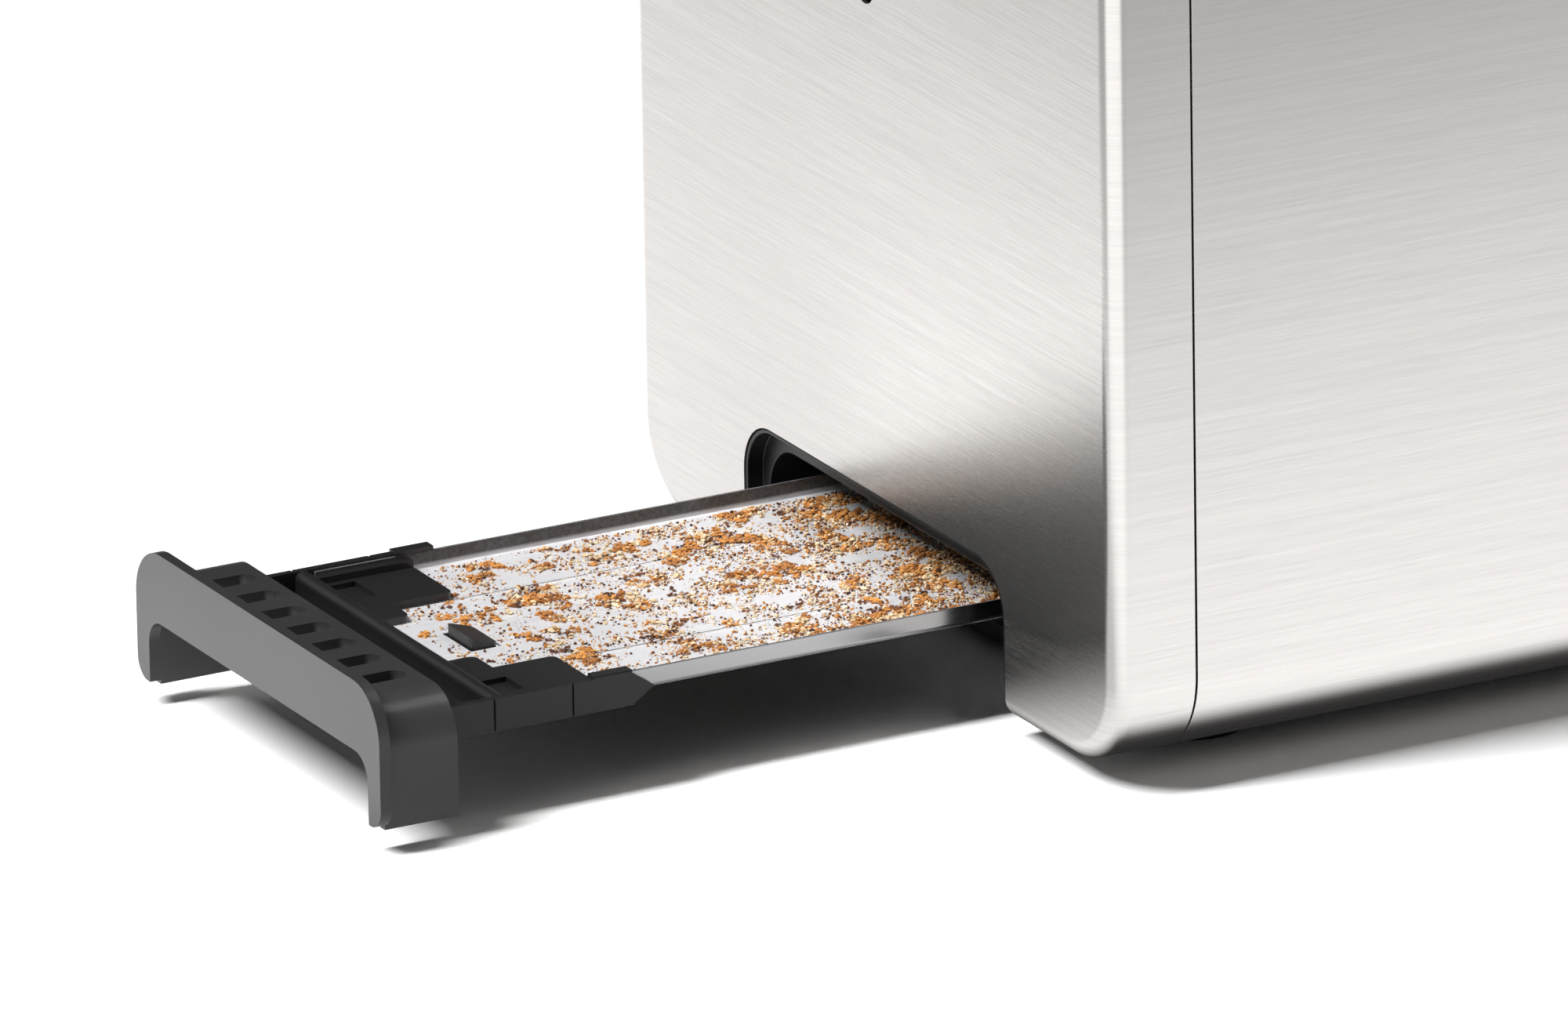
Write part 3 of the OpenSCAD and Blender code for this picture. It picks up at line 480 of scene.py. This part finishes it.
def winding(name):
    """Varnished copper turns."""
    sheet = Sheet(name, metallic=0.9)
    turns = sheet.node("ShaderNodeTexWave", {"bands_direction": "Z", "wave_profile": "SIN"},
                       {"Vector": sheet.coordinates(), "Scale": 420.0, "Distortion": 0.4})
    sheet.set("Base Color", sheet.blend(turns, (0.30, 0.10, 0.03), (0.80, 0.36, 0.14)))
    sheet.set("Roughness", 0.25 + turns * 0.2)
    sheet.bump(turns, 0.2 * MM, 0.6)
    return sheet.material


def circuit(name):
    """Green lacquered board with faint tracks under the lacquer."""
    sheet = Sheet(name)
    sheet.set("Coat Weight", 0.5)
    track = sheet.node("ShaderNodeTexBrick", None,
                       {"Vector": sheet.stretched((160, 160, 160), (0, math.pi / 2, 0)), "Scale": 1.0,
                        "Mortar Size": 0.06, "Color1": (0.02, 0.16, 0.06), "Color2": (0.02, 0.20, 0.08),
                        "Mortar": (0.05, 0.34, 0.13)})
    sheet.set("Base Color", track)
    sheet.set("Roughness", 0.3 + sheet.noise(700, 2.0) * 0.2)
    return sheet.material


def crumb_finish(name, dark, light):
    """Toasted bread, from a dark crust to a pale inside, by each crumb's own tone."""
    sheet = Sheet(name)
    tone = sheet.node("ShaderNodeAttribute", {"attribute_name": "tone"}, output="Fac")
    pores = sheet.noise(2600, 3.0)
    middle = [(a + b) / 2 for a, b in zip(dark, light)]
    colour = sheet.node("ShaderNodeValToRGB", {"stops": [(0.0, dark), (0.5, middle), (1.0, light)]},
                        {0: tone * 0.8 + (pores - 0.5) * 0.5 + 0.1})
    sheet.set("Base Color", colour)
    sheet.set("Roughness", 0.6 + pores * 0.3)
    sheet.bump(pores, 0.2 * MM, 0.5)
    return sheet.material


def make_finishes():
    return {
        "brushed_stainless": brushed_steel("brushed_stainless"),
        "black_plastic": moulded("black_plastic", (0.007, 0.007, 0.008), 0.4, specular=0.7),
        "grey_plastic": moulded("grey_plastic", (0.022, 0.022, 0.023), 0.4),
        "foot_rubber": moulded("foot_rubber", (0.010, 0.010, 0.010), 0.75, 0.6, 0.3),
        "pan_steel": pan_metal("pan_steel"),
        "chassis_steel": sheet_metal("chassis_steel", (0.56, 0.57, 0.58), 0.36, 0.2),
        "mica_card": card("mica_card"),
        "heating_ribbon": ribbon("heating_ribbon"),
        "wire_chrome": sheet_metal("wire_chrome", (0.78, 0.79, 0.80), 0.14, 0.08, 0.05),
        "magnet_copper": winding("magnet_copper"),
        "circuit_board": circuit("circuit_board"),
        "board_parts": moulded("board_parts", (0.02, 0.02, 0.022), 0.28, 0.1),
        "dial_plastic": moulded("dial_plastic", (0.016, 0.016, 0.018), 0.38),
        "button_plastic": moulded("button_plastic", (0.045, 0.046, 0.048), 0.3, 0.15),
        "light_pipe": moulded("light_pipe", (0.70, 0.74, 0.76), 0.12, 0.05),
        "terminal_plastic": moulded("terminal_plastic", (0.72, 0.70, 0.60), 0.4, 0.15),
        "wire_insulation": moulded("wire_insulation", (0.05, 0.025, 0.016), 0.4, 0.1),
        "screw_steel": sheet_metal("screw_steel", (0.60, 0.61, 0.62), 0.25, 0.15),
    }


# ---------------------------------------------------------------- casing

def rounded_case(name, low, high):
    """Block with the body's long edges rounded."""
    piece = add_block(name, low, high)
    middle = (low.z + high.z) / 2
    round_edges(piece, lambda e: along(e, 0) and e.verts[0].co.z > middle, UPPER_R, 20)
    round_edges(piece, lambda e: along(e, 0) and e.verts[0].co.z < middle
                and near(e.verts[0].co.z, low.z), LOWER_R, 18)
    return piece


def arch_cutter(name, low, high, radius):
    """Block with rounded upper edges, to cut the tray's opening."""
    piece = add_block(name, low, high)
    round_edges(piece, lambda e: along(e, 0) and near(e.verts[0].co.z, high.z), radius, 16)
    return piece


def slot_cutter(name, low, high, radius, axis, segments=12):
    """Block with its edges along one axis rounded."""
    piece = add_block(name, low, high)
    round_edges(piece, lambda e: along(e, axis), radius, segments)
    return piece


def end_cap(name, node, face_x, open_x):
    low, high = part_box(node)
    piece = rounded_case(name, low, high)
    round_edges(piece, lambda e: all(near(v.co.x, face_x) for v in e.verts), FACE_R, 8)
    remove_faces(piece, lambda f: all(near(v.co.x, open_x) for v in f.verts))
    return thicken(piece, SHEET)


def opening_cutters():
    """What the lever end's cap is cut with: tray mouth, lever slot, buttons, lights and dial."""
    inside, outside = FACE_X + 6 * MM, FACE_X - 2 * MM
    bezel_low, bezel_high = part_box("tray_bezel")
    fit = 0.2 * MM
    mouth = arch_cutter("mouth", Vector((outside, bezel_low.y - fit, cap_low.z - 4 * MM)),
                        Vector((cap_high.x + 2 * MM, bezel_high.y + fit, bezel_high.z + fit)), NOTCH_R)
    arm_low, arm_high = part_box("lever_arm")
    travel = next(j["range_m"][1] for j in frame["joints"] if j["name"] == "carriage_slide")
    slot_half = 3.2 * MM
    lever = slot_cutter("lever_gap", Vector((outside, -slot_half, arm_low.z - travel - 1.2 * MM)),
                        Vector((inside, slot_half, arm_high.z + 5 * MM)), slot_half - 0.01 * MM, 0, 16)
    cutters = [mouth, lever]
    for node in ("button_upper", "button_middle", "button_lower"):
        low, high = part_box(node)
        y, z = (low.y + high.y) / 2, (low.z + high.z) / 2
        light_y = y + LIGHT_PITCH
        cutters.append(add_rod("hole", (outside, y, z), (inside, y, z), BUTTON_HOLE_R, 48))
        cutters.append(add_rod("hole", (outside, light_y, z), (inside, light_y, z), LIGHT_HOLE_R, 24))
    low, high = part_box("dial_shaft")
    y, z = (low.y + high.y) / 2, (low.z + high.z) / 2
    cutters.append(add_rod("hole", (outside, y, z), (inside, y, z), SHAFT_HOLE_R, 32))
    return cutters


def make_casing(finish):
    steel = finish["brushed_stainless"]
    front = end_cap("front_cap_shell", "end_cap_front", cap_low.x, cap_high.x)
    cut(front, *opening_cutters())
    soften(front, RIM_R, 3)
    place(front, "root", steel, "brushed_stainless", "end_cap_front")

    rear_low, rear_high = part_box("end_cap_rear")
    rear = end_cap("rear_cap_shell", "end_cap_rear", rear_high.x, rear_low.x)
    gland_low, gland_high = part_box("cord_gland")
    y, z = (gland_low.y + gland_high.y) / 2, (gland_low.z + gland_high.z) / 2
    cut(rear, add_rod("hole", (rear_high.x - 4 * MM, y, z), (rear_high.x + 4 * MM, y, z),
                      GLAND_HOLE_R, 48))
    soften(rear, RIM_R * 0.6, 2)
    place(rear, "root", steel, "brushed_stainless", "end_cap_rear")

    wrap = rounded_case("wrap_shell", wrap_low, wrap_high)
    remove_faces(wrap, lambda f: abs(f.normal.x) > 0.9)
    thicken(wrap, SHEET)
    gap = add_block("gap", (wrap_low.x - MM, wrap_low.y + FLANGE, wrap_low.z - MM),
                    (wrap_high.x + MM, wrap_high.y - FLANGE, wrap_low.z + 2 * MM))
    cutters = [gap]
    trim_low, trim_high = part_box("slot_trim")
    border, wall = 7 * MM, 1.4 * MM
    slot_y = 27 * MM
    slot_half = slot_y - 10 * MM + wall
    for side in (-1, 1):
        cutters.append(slot_cutter(
            "bread_gap",
            Vector((trim_low.x + border - wall, side * slot_y - slot_half, wrap_high.z - 4 * MM)),
            Vector((trim_high.x - border + wall, side * slot_y + slot_half, wrap_high.z + 4 * MM)),
            SLOT_CORNER_R + wall, 2, 8))
    cut(wrap, *cutters)
    soften(wrap, 0.2 * MM, 2)
    place(wrap, "root", steel, "brushed_stainless", "wrap_cover")


# ---------------------------------------------------------------- crumb tray

def make_pan(finish):
    """Folded pan: floor, side walls and end wall with small bends, and two pressed beads."""
    pan = add_block("pan_sheet", pan_low, pan_high)
    remove_faces(pan, lambda f: f.normal.z > 0.9 or f.normal.x < -0.9)
    round_edges(pan, lambda e: all(near(v.co.z, pan_low.z) for v in e.verts)
                and not all(near(v.co.x, pan_low.x) for v in e.verts), PAN_BEND_R, 5)
    thicken(pan, PAN_SHEET)
    wedge_gap = add_block("wedge_gap", (carrier_low.x + 20.7 * MM, -6 * MM, pan_low.z - MM),
                          (carrier_low.x + 26.4 * MM, 4.3 * MM, pan_low.z + 2 * MM))
    cut(pan, wedge_gap)
    soften(pan, 0.12 * MM, 2)
    floor_z = pan_low.z + PAN_SHEET
    beads = []
    for side in (-1, 1):
        bead = add_rod("bead", (carrier_low.x + 19.5 * MM, side * BEAD_Y, floor_z - 0.12 * MM),
                       (BEAD_END, side * BEAD_Y, floor_z - 0.12 * MM), BEAD_R, 16)
        beads.append(soften(bead, 0.2 * MM, 3))
    place(join("pan_shape", pan, *beads), "tray", finish["pan_steel"], "pan_steel", "tray_pan")


def is_outer(edge):
    """Whether an upright edge is a corner that sticks out."""
    faces = edge.link_faces
    return edge.is_convex and all(near(f.normal.z, 0) for f in faces)


def make_tray_mouldings(finish):
    handle = soften(copy_node("tray_handle"), 0.5 * MM, 4)
    place(handle, "tray", finish["grey_plastic"], "grey_plastic", "tray_handle")
    carrier = copy_node("tray_carrier")
    lobe_x = carrier_low.x + 16 * MM
    round_edges(carrier, lambda e: along(e, 2) and e.verts[0].co.x > lobe_x
                and abs(e.verts[0].co.y) < 30 * MM and e.calc_face_angle(0) > 1.2
                and is_outer(e), 1.2 * MM, 5)
    soften(carrier, 0.2 * MM, 3)
    floor_z = pan_low.z + PAN_SHEET + 0.1 * MM
    # Thin black plates on the pan floor under the carrier's windows: painted shade, a dark sheet that
    # makes the windows look dark
    window_x, window_y, window_plate_half, window_plate_t = BAR_X + 4 * MM, 27 * MM, 4.4 * MM, 0.35 * MM
    window_shade_plates = [soften(add_block("web", (window_x - 0.4 * MM, side * window_y - window_plate_half, floor_z),
                             (window_x + 5.4 * MM, side * window_y + window_plate_half, floor_z + window_plate_t)),
                   0.1 * MM, 2) for side in (-1, 1)]
    carrier = join("tray_carrier_shape", carrier, *window_shade_plates)
    place(carrier, "tray", finish["black_plastic"], "black_plastic", "tray_carrier")
    bezel = soften(copy_node("tray_bezel"), 0.25 * MM, 3)
    place(bezel, "root", finish["black_plastic"], "black_plastic", "tray_bezel")


# ---------------------------------------------------------------- crumbs

def crumb_shapes(random, count):
    """A few lumpy crumbs about 1 across, as arrays of corners and faces."""
    shapes = []
    for _ in range(count):
        deselect()
        bpy.ops.mesh.primitive_ico_sphere_add(subdivisions=1, radius=0.5)
        piece = bpy.context.object
        corners = np.array([v.co for v in piece.data.vertices])
        offset = Vector(random.uniform(-50, 50, 3))
        lumps = np.array([noise.noise(Vector(c) * 2.3 + offset) for c in corners])
        corners = corners * (1 + 0.9 * lumps[:, None])
        faces = np.array([p.vertices[:] for p in piece.data.polygons])
        bpy.data.objects.remove(piece)
        shapes.append((corners, faces))
    return shapes


def turned(random, corners):
    """The corners turned any way round."""
    axis = random.normal(size=3)
    turn = Matrix.Rotation(random.uniform(0, math.tau), 3, Vector(axis).normalized())
    return corners @ np.array(turn).T


def scatter_crumbs(name, random, shapes, count, size, flat, material, tones, density, clump=None,
                   inner=False):
    """Many crumbs as one piece, thicker where density says so. A clump is (crumbs, reach). The
    inner ones lie on the part of the pan that the body hides at rest."""
    points, faces, tone = [], [], []
    total = 0
    x0, x1 = pan_low.x + 4 * MM, pan_high.x - HIDDEN_PAN
    if inner:
        x0, x1 = x1, pan_high.x - 6 * MM
    half = (pan_high.y - pan_low.y) / 2 - 1.6 * MM
    floor_z = pan_low.z + PAN_SHEET
    placed = 0
    while placed < count:
        x, y = random.uniform(x0, x1), random.uniform(-half, half)
        if random.uniform() > density(x, y):
            continue
        members, reach_out, squeeze = 1, 0.0, 1.0
        if clump:
            members = int(random.integers(clump[0] // 3, clump[0]))
            reach_out = random.uniform(0.5, 1) * clump[1]
            squeeze = random.uniform(0.35, 0.9)
        lean = random.uniform(0, math.pi)
        clump_tone = random.normal(*tones)
        for _ in range(members):
            angle, out = random.uniform(0, math.tau), reach_out * math.sqrt(random.uniform())
            along_x, along_y = out * math.cos(angle), out * math.sin(angle) * squeeze
            px = x + along_x * math.cos(lean) - along_y * math.sin(lean)
            py = y + along_x * math.sin(lean) + along_y * math.cos(lean)
            corners, shape_faces = shapes[random.integers(len(shapes))]
            width = size[0] + (size[1] - size[0]) * random.uniform() ** 2.5
            spot = turned(random, corners) * width * np.array([1, random.uniform(0.6, 1), flat])
            reach = np.abs(spot[:, :2]).max()
            if abs(py) + reach > half or on_lobe(px, py, reach):
                continue
            lift = random.uniform(0, 0.5) * width * (1 - out / reach_out) if clump else 0
            spot += np.array([px, py, floor_z - spot[:, 2].min() * 0.8 + lift])
            points.append(spot)
            faces.append(shape_faces + total)
            tone.append(np.full(len(spot), np.clip(clump_tone + random.normal(0, 0.12), 0, 1)))
            total += len(spot)
            placed += 1
    mesh = bpy.data.meshes.new(name)
    mesh.from_pydata(np.concatenate(points), [], np.concatenate(faces).tolist())
    attribute = mesh.attributes.new("tone", "FLOAT", "POINT")
    attribute.data.foreach_set("value", np.concatenate(tone).astype(np.float32))
    piece = bpy.data.objects.new(name, mesh)
    bpy.context.scene.collection.objects.link(piece)
    return place(piece, "tray", material, "pan_steel")


def on_lobe(x, y, reach):
    """Whether a crumb would lie in the frame's lobes or in the wedge."""
    ahead = x - reach - BAR_X
    if ahead < 20.7 * MM and abs(y) + reach > 17.8 * MM:
        return True
    if ahead < 9.4 * MM and abs(y) + reach > 11.3 * MM:
        return True
    if ahead < 3.2 * MM:
        return True
    return (BAR_X + 11.3 * MM < x + reach and x - reach < BAR_X + 17.2 * MM
            and -6.2 * MM < y + reach and y - reach < 4.5 * MM)


def make_crumbs():
    random = np.random.default_rng(7)

    def clusters(x, y, scale, seed):
        return noise.noise(Vector((x * scale, y * scale, seed))) + 0.5

    def everywhere(x, y):
        near_body = min(1, max(0, (x - pan_low.x) / 85 / MM))
        by_wall = 0.5 * min(1, max(0, (y - 24 * MM) / (10 * MM))) * near_body
        share = min(1, 0.25 + 0.8 * near_body * near_body + by_wall)
        return share * max(0, clusters(x, y, 180, 3.1) * 1.5 - 0.1)

    def patches(x, y):
        near_body = min(1, max(0, (x - pan_low.x) / 60 / MM))
        return (0.35 + 0.65 * near_body) * max(0, clusters(x, y, 130, 9.7) * 2.2 - 0.85)

    def fading(x, y):
        way = (x - pan_high.x + HIDDEN_PAN) / (54 * MM)
        return max(0, 1 - way) ** 1.6 * max(0, clusters(x, y, 180, 3.1) * 1.5 - 0.1)

    toasted = crumb_finish("crumb_toasted", (0.16, 0.04, 0.005), (0.72, 0.32, 0.07))
    burnt = crumb_finish("crumb_burnt", (0.016, 0.005, 0.002), (0.20, 0.06, 0.012))
    pale = crumb_finish("crumb_pale", (0.50, 0.30, 0.12), (0.86, 0.74, 0.52))
    fine = crumb_shapes(random, 10)
    scatter_crumbs("crumbs_dust_toasted", random, fine, 9000, (0.22 * MM, 0.75 * MM), 0.7,
                   toasted, (0.4, 0.25), everywhere)
    scatter_crumbs("crumbs_dust_burnt", random, fine, 9000, (0.2 * MM, 0.65 * MM), 0.7,
                   burnt, (0.4, 0.3), everywhere)
    scatter_crumbs("crumbs_dust_pale", random, fine, 8500, (0.3 * MM, 0.8 * MM), 0.7,
                   pale, (0.55, 0.25), everywhere)
    for name in ("crumbs_flakes_toasted", "crumbs_flakes_golden"):
        scatter_crumbs(name, random, fine, 7500, (0.3 * MM, 1.1 * MM), 0.55,
                       toasted, (0.5, 0.2), patches, (40, 2.2 * MM))
    scatter_crumbs("crumbs_flakes_burnt", random, fine, 5000, (0.25 * MM, 0.9 * MM), 0.55,
                   burnt, (0.45, 0.25), patches, (18, 1.5 * MM))
    scatter_crumbs("crumbs_flakes_pale", random, fine, 4500, (0.3 * MM, 1.1 * MM), 0.6,
                   pale, (0.5, 0.2), patches, (18, 1.8 * MM))
    scatter_crumbs("crumbs_inner_toasted", random, fine, 3600, (0.25 * MM, 1.0 * MM), 0.6,
                   toasted, (0.45, 0.25), fading, (30, 2.2 * MM), inner=True)
    scatter_crumbs("crumbs_inner_burnt", random, fine, 1800, (0.2 * MM, 0.8 * MM), 0.6,
                   burnt, (0.45, 0.25), fading, inner=True)
    scatter_crumbs("crumbs_inner_pale", random, fine, 1800, (0.3 * MM, 0.9 * MM), 0.7,
                   pale, (0.5, 0.25), fading, inner=True)


# ---------------------------------------------------------------- other pieces

# CAD node, edge rounding in millimetres
ROUNDED = {
    "slot_trim": 0.4, "base_plate": 0.25, "foot_front_left": 0.8, "foot_front_right": 0.8,
    "foot_rear_left": 0.8, "foot_rear_right": 0.8, "lever_knob": 0.8, "browning_dial": 0.35,
    "button_upper": 0.5, "button_middle": 0.5, "button_lower": 0.5, "cord_gland": 0.6,
    "lever_arm": 0.3, "bread_rack_left": 0.3, "bread_rack_right": 0.3,
}


def dress_nodes(finish):
    """Every CAD node gets its slot's finish, and those that show get rounded edges."""
    slots = {part["node"]: part["material_slot"] for part in frame["record"]["subparts"]}
    for node, piece in frame["nodes"].items():
        piece.data.materials.clear()
        piece.data.materials.append(finish[slots[node]])
    for node, width in ROUNDED.items():
        shape = soften(copy_node(node), width * MM, 3)
        body = frame["nodes"][node]["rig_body"]
        place(shape, body, finish[slots[node]], slots[node], node)


# ---------------------------------------------------------------- studio

def make_camera():
    """Long lens, from the right of the lever end and a little above."""
    turn, tilt, roll = (math.radians(angle) for angle in (-27.80, 19.28, 0.95))
    aim = Vector((FACE_X, 31.24 * MM, 15.15 * MM))
    distance = 3.4129
    back = Vector((math.sin(turn) * math.cos(tilt), -math.cos(turn) * math.cos(tilt), math.sin(tilt)))
    right = Vector((math.cos(turn), math.sin(turn), 0))
    up = back.cross(right)
    level = right * math.cos(roll) - up * math.sin(roll)
    high = right * math.sin(roll) + up * math.cos(roll)
    data = bpy.data.cameras.new("camera")
    data.lens, data.sensor_width = 470.6, 36
    data.clip_end = 50
    camera = bpy.data.objects.new("camera", data)
    bpy.context.scene.collection.objects.link(camera)
    rows = Matrix((level, high, back)).transposed().to_4x4()
    rows.translation = aim + back * distance
    camera.matrix_world = rows
    bpy.context.scene.camera = camera


def only_reflected(card):
    """A studio card that shows in shiny surfaces and nowhere else."""
    card.visible_camera = False
    card.visible_diffuse = False
    card.visible_shadow = False
    card.visible_transmission = False
    card.visible_volume_scatter = False


def make_floor():
    deselect()
    bpy.ops.mesh.primitive_plane_add(size=12, location=(0, 0, 0))
    floor = named("floor")
    sheet = Sheet("floor_white", base_color=(0.93, 0.93, 0.93), roughness=0.9)
    sheet.set("Specular IOR Level", 0.1)
    floor.data.materials.append(sheet.material)
    floor.visible_glossy = False


def dull_black(name):
    sheet = Sheet(name, base_color=(0, 0, 0), roughness=1.0)
    sheet.set("Specular IOR Level", 0.0)
    return sheet


def glowing(name, strength_of):
    """Material that glows by place: strength_of gets the sheet and the x, y and z of the point."""
    sheet = dull_black(name)
    sheet.glow(strength_of(sheet, *sheet.axes()))
    return sheet.material


def make_floor_card():
    """A painted reflection of the floor for the steel: bright by the body, fading with distance, and with
    painted shadow under the body and the tray."""
    def floor_glow(sheet, x, y, _):
        right = cap_low.y
        beside = sheet.spread(y, right - 0.02, right + 0.02)
        side_way = sheet.maths("MAXIMUM", right - y, 0.0)
        side = 1.04 - 4.8 * side_way * side_way
        end_way = sheet.maths("MAXIMUM", FACE_X - x, 0.0)
        level = y - 1.9 * end_way
        # painted reflection: a bright band and a dull band that the lever end mirrors
        bright_band = sheet.bell(((level + 0.03) * 45) ** 2)
        dull_band = sheet.bell(((level - 0.02) * 40) ** 2)
        end = 0.97 - 7.0 * end_way * end_way + bright_band * 0.38 - dull_band * 0.14
        ahead = sheet.spread(x, FACE_X - 0.03, FACE_X)
        corner = 1.12 * (1 - ahead) + side * ahead
        bright = corner * (1 - beside) + end * beside
        bright = sheet.maths("MAXIMUM", bright, 0.28)
        # painted highlight: a bright patch that the grip's front plate mirrors
        plate_glow = (sheet.spread(x, -0.31, -0.27) * sheet.spread(x, -0.195, -0.21)
                      * sheet.spread(y, -0.06, -0.02) * sheet.spread(y, 0.14, 0.115))
        bright = bright + plate_glow * 0.9
        # painted shadow beside the tray, as the grip and the carrier's side mirror it
        reach_x, reach_y = (x + 0.165) * 18, (y + 0.085) * 24
        painted_tray_shadow = sheet.bell(reach_x * reach_x + reach_y * reach_y)
        bright = bright * (1 - painted_tray_shadow * 0.6)
        edge = 0.004
        under_x = sheet.spread(x, FACE_X - edge, FACE_X + edge)
        under_y = sheet.spread(y, right - edge, right + edge)
        under_far = sheet.spread(y, cap_high.y + edge, cap_high.y - edge)
        under_rear = sheet.spread(x, rear_x + edge, rear_x - edge)
        soft = 0.012
        tray_near = sheet.spread(y, pan_low.y - 26 * MM, pan_low.y + 14 * MM)
        tray_far = sheet.spread(y, pan_high.y + soft, pan_high.y - soft)
        tray_left = sheet.spread(x, carrier_low.x - 0.03, carrier_low.x + 0.03)
        tray_right = sheet.spread(x, FACE_X + 2 * soft, FACE_X + soft)
        body_shade = under_x * under_y * under_far * under_rear
        tray_shade = tray_near * tray_far * tray_left * tray_right
        return bright * (1 - body_shade * 0.98) * (1 - tray_shade)

    rear_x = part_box("end_cap_rear")[1].x
    deselect()
    bpy.ops.mesh.primitive_plane_add(size=4, location=(0, 0, 0.3 * MM))
    card = settle(named("floor_card"))
    card.data.materials.append(glowing("floor_card_glow", floor_glow))
    only_reflected(card)


def make_sky():
    """What shiny surfaces see above the horizon: a pale room, dark behind the object."""
    deselect()
    bpy.ops.mesh.primitive_uv_sphere_add(segments=32, ring_count=16, radius=6)
    sky = settle(named("sky"))
    remove_faces(sky, lambda f: f.calc_center_median().z < 0)
    pale = Sheet("sky_pale", base_color=(0, 0, 0), roughness=1.0)
    pale.glow(pale.spread(pale.axes()[2], 3.0, 4.6, 0.24, 0.03))
    sky.data.materials.append(pale.material)
    only_reflected(sky)
    deselect()
    way = Vector((0.44, 0.835, 0.36))
    bpy.ops.mesh.primitive_plane_add(size=3.0, location=way * 2.2,
                                     rotation=way.to_track_quat("Z", "Y").to_euler())
    flag = settle(named("dark_flag"))
    dark = dull_black("flag_dark")
    dark.set("Emission Color", (0.03, 0.03, 0.03))
    dark.set("Emission Strength", 1.0)
    flag.data.materials.append(dark.material)
    only_reflected(flag)


def make_tray_card():
    """A dim card just over the tray that only shiny surfaces see: a painted dark reflection of the tray in
    the steel.
    It moves with the tray, and shows only from above."""
    low, high = pan_low, pan_high
    z = high.z + 0.6 * MM
    deselect()
    bpy.ops.mesh.primitive_plane_add(size=1, location=((carrier_low.x + FACE_X) / 2, 0, z))
    card = bpy.context.object
    card.dimensions = (FACE_X - carrier_low.x, 2 * (high.y - low.y), 0)
    card = settle(named("tray_card"))
    sheet = dull_black("tray_card_dim")
    x, y, _ = sheet.axes()
    # painted reflection: darkest by the lever end, a little lighter towards the grip
    sheet.glow(sheet.spread(x, FACE_X, carrier_low.x, 0.022, 0.12))
    blur = sheet.spread(x, FACE_X, FACE_X - 14 * MM, 1.5 * MM, 17 * MM)
    middle = high.y - 14 * MM
    far = 1 - sheet.node("ShaderNodeMapRange", {"interpolation_type": "SMOOTHSTEP"},
                         {"Value": y, "From Min": middle - blur, "From Max": middle + blur})
    near_side = sheet.spread(y, low.y - 26 * MM, low.y - 18 * MM)
    outer = sheet.spread(x, carrier_low.x, carrier_low.x + 20 * MM)
    above = 1 - sheet.node("ShaderNodeNewGeometry", output="Backfacing")
    sheet.set("Alpha", far * near_side * outer * above)
    card.data.materials.append(sheet.material)
    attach(card, "tray")
    only_reflected(card)


def make_shade():
    """A black card close under the tray, that keeps light from bouncing off the pan and from
    falling through the grip's slots."""
    deselect()
    gap = 0.4 * MM
    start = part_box("tray_handle")[0].x + 6 * MM
    bpy.ops.mesh.primitive_plane_add(size=1, location=((start + FACE_X) / 2, 0, pan_low.z - gap))
    card = bpy.context.object
    card.dimensions = (FACE_X - start, pan_high.y - pan_low.y, 0)
    card = settle(named("tray_shade"))
    card.data.materials.append(dull_black("tray_shade_black").material)
    card.visible_camera = False
    card.visible_glossy = False
    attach(card, "tray")


def add_light(name, size, place_at, aim, power):
    data = bpy.data.lights.new(name, "AREA")
    data.shape = "RECTANGLE"
    data.size, data.size_y = size
    data.energy = power
    light = bpy.data.objects.new(name, data)
    bpy.context.scene.collection.objects.link(light)
    light.location = place_at
    light.rotation_euler = (Vector(aim) - Vector(place_at)).to_track_quat("-Z", "Y").to_euler()
    return light


def make_light():
    """A large soft box high on the left, a low fill in front, and a dim room."""
    world = bpy.data.worlds.new("studio")
    bpy.context.scene.world = world
    world.use_nodes = True
    background = world.node_tree.nodes["Background"]
    background.inputs[0].default_value = (1, 1, 1, 1)
    background.inputs[1].default_value = 0.006
    add_light("overhead", (0.5, 1.6), (-2.0, 0.14, 2.8), (0, 0, 0), 180)
    add_light("fill", (1.2, 0.5), (-2.4, -0.2, 0.5), (-0.1, 0, 0.05), 4)
    bpy.context.scene.view_settings.view_transform = "Standard"


make_camera()
make_floor()
make_floor_card()
make_sky()
make_tray_card()
make_shade()
make_light()
finishes = make_finishes()
dress_nodes(finishes)
make_casing(finishes)
make_pan(finishes)
make_tray_mouldings(finishes)
make_crumbs()
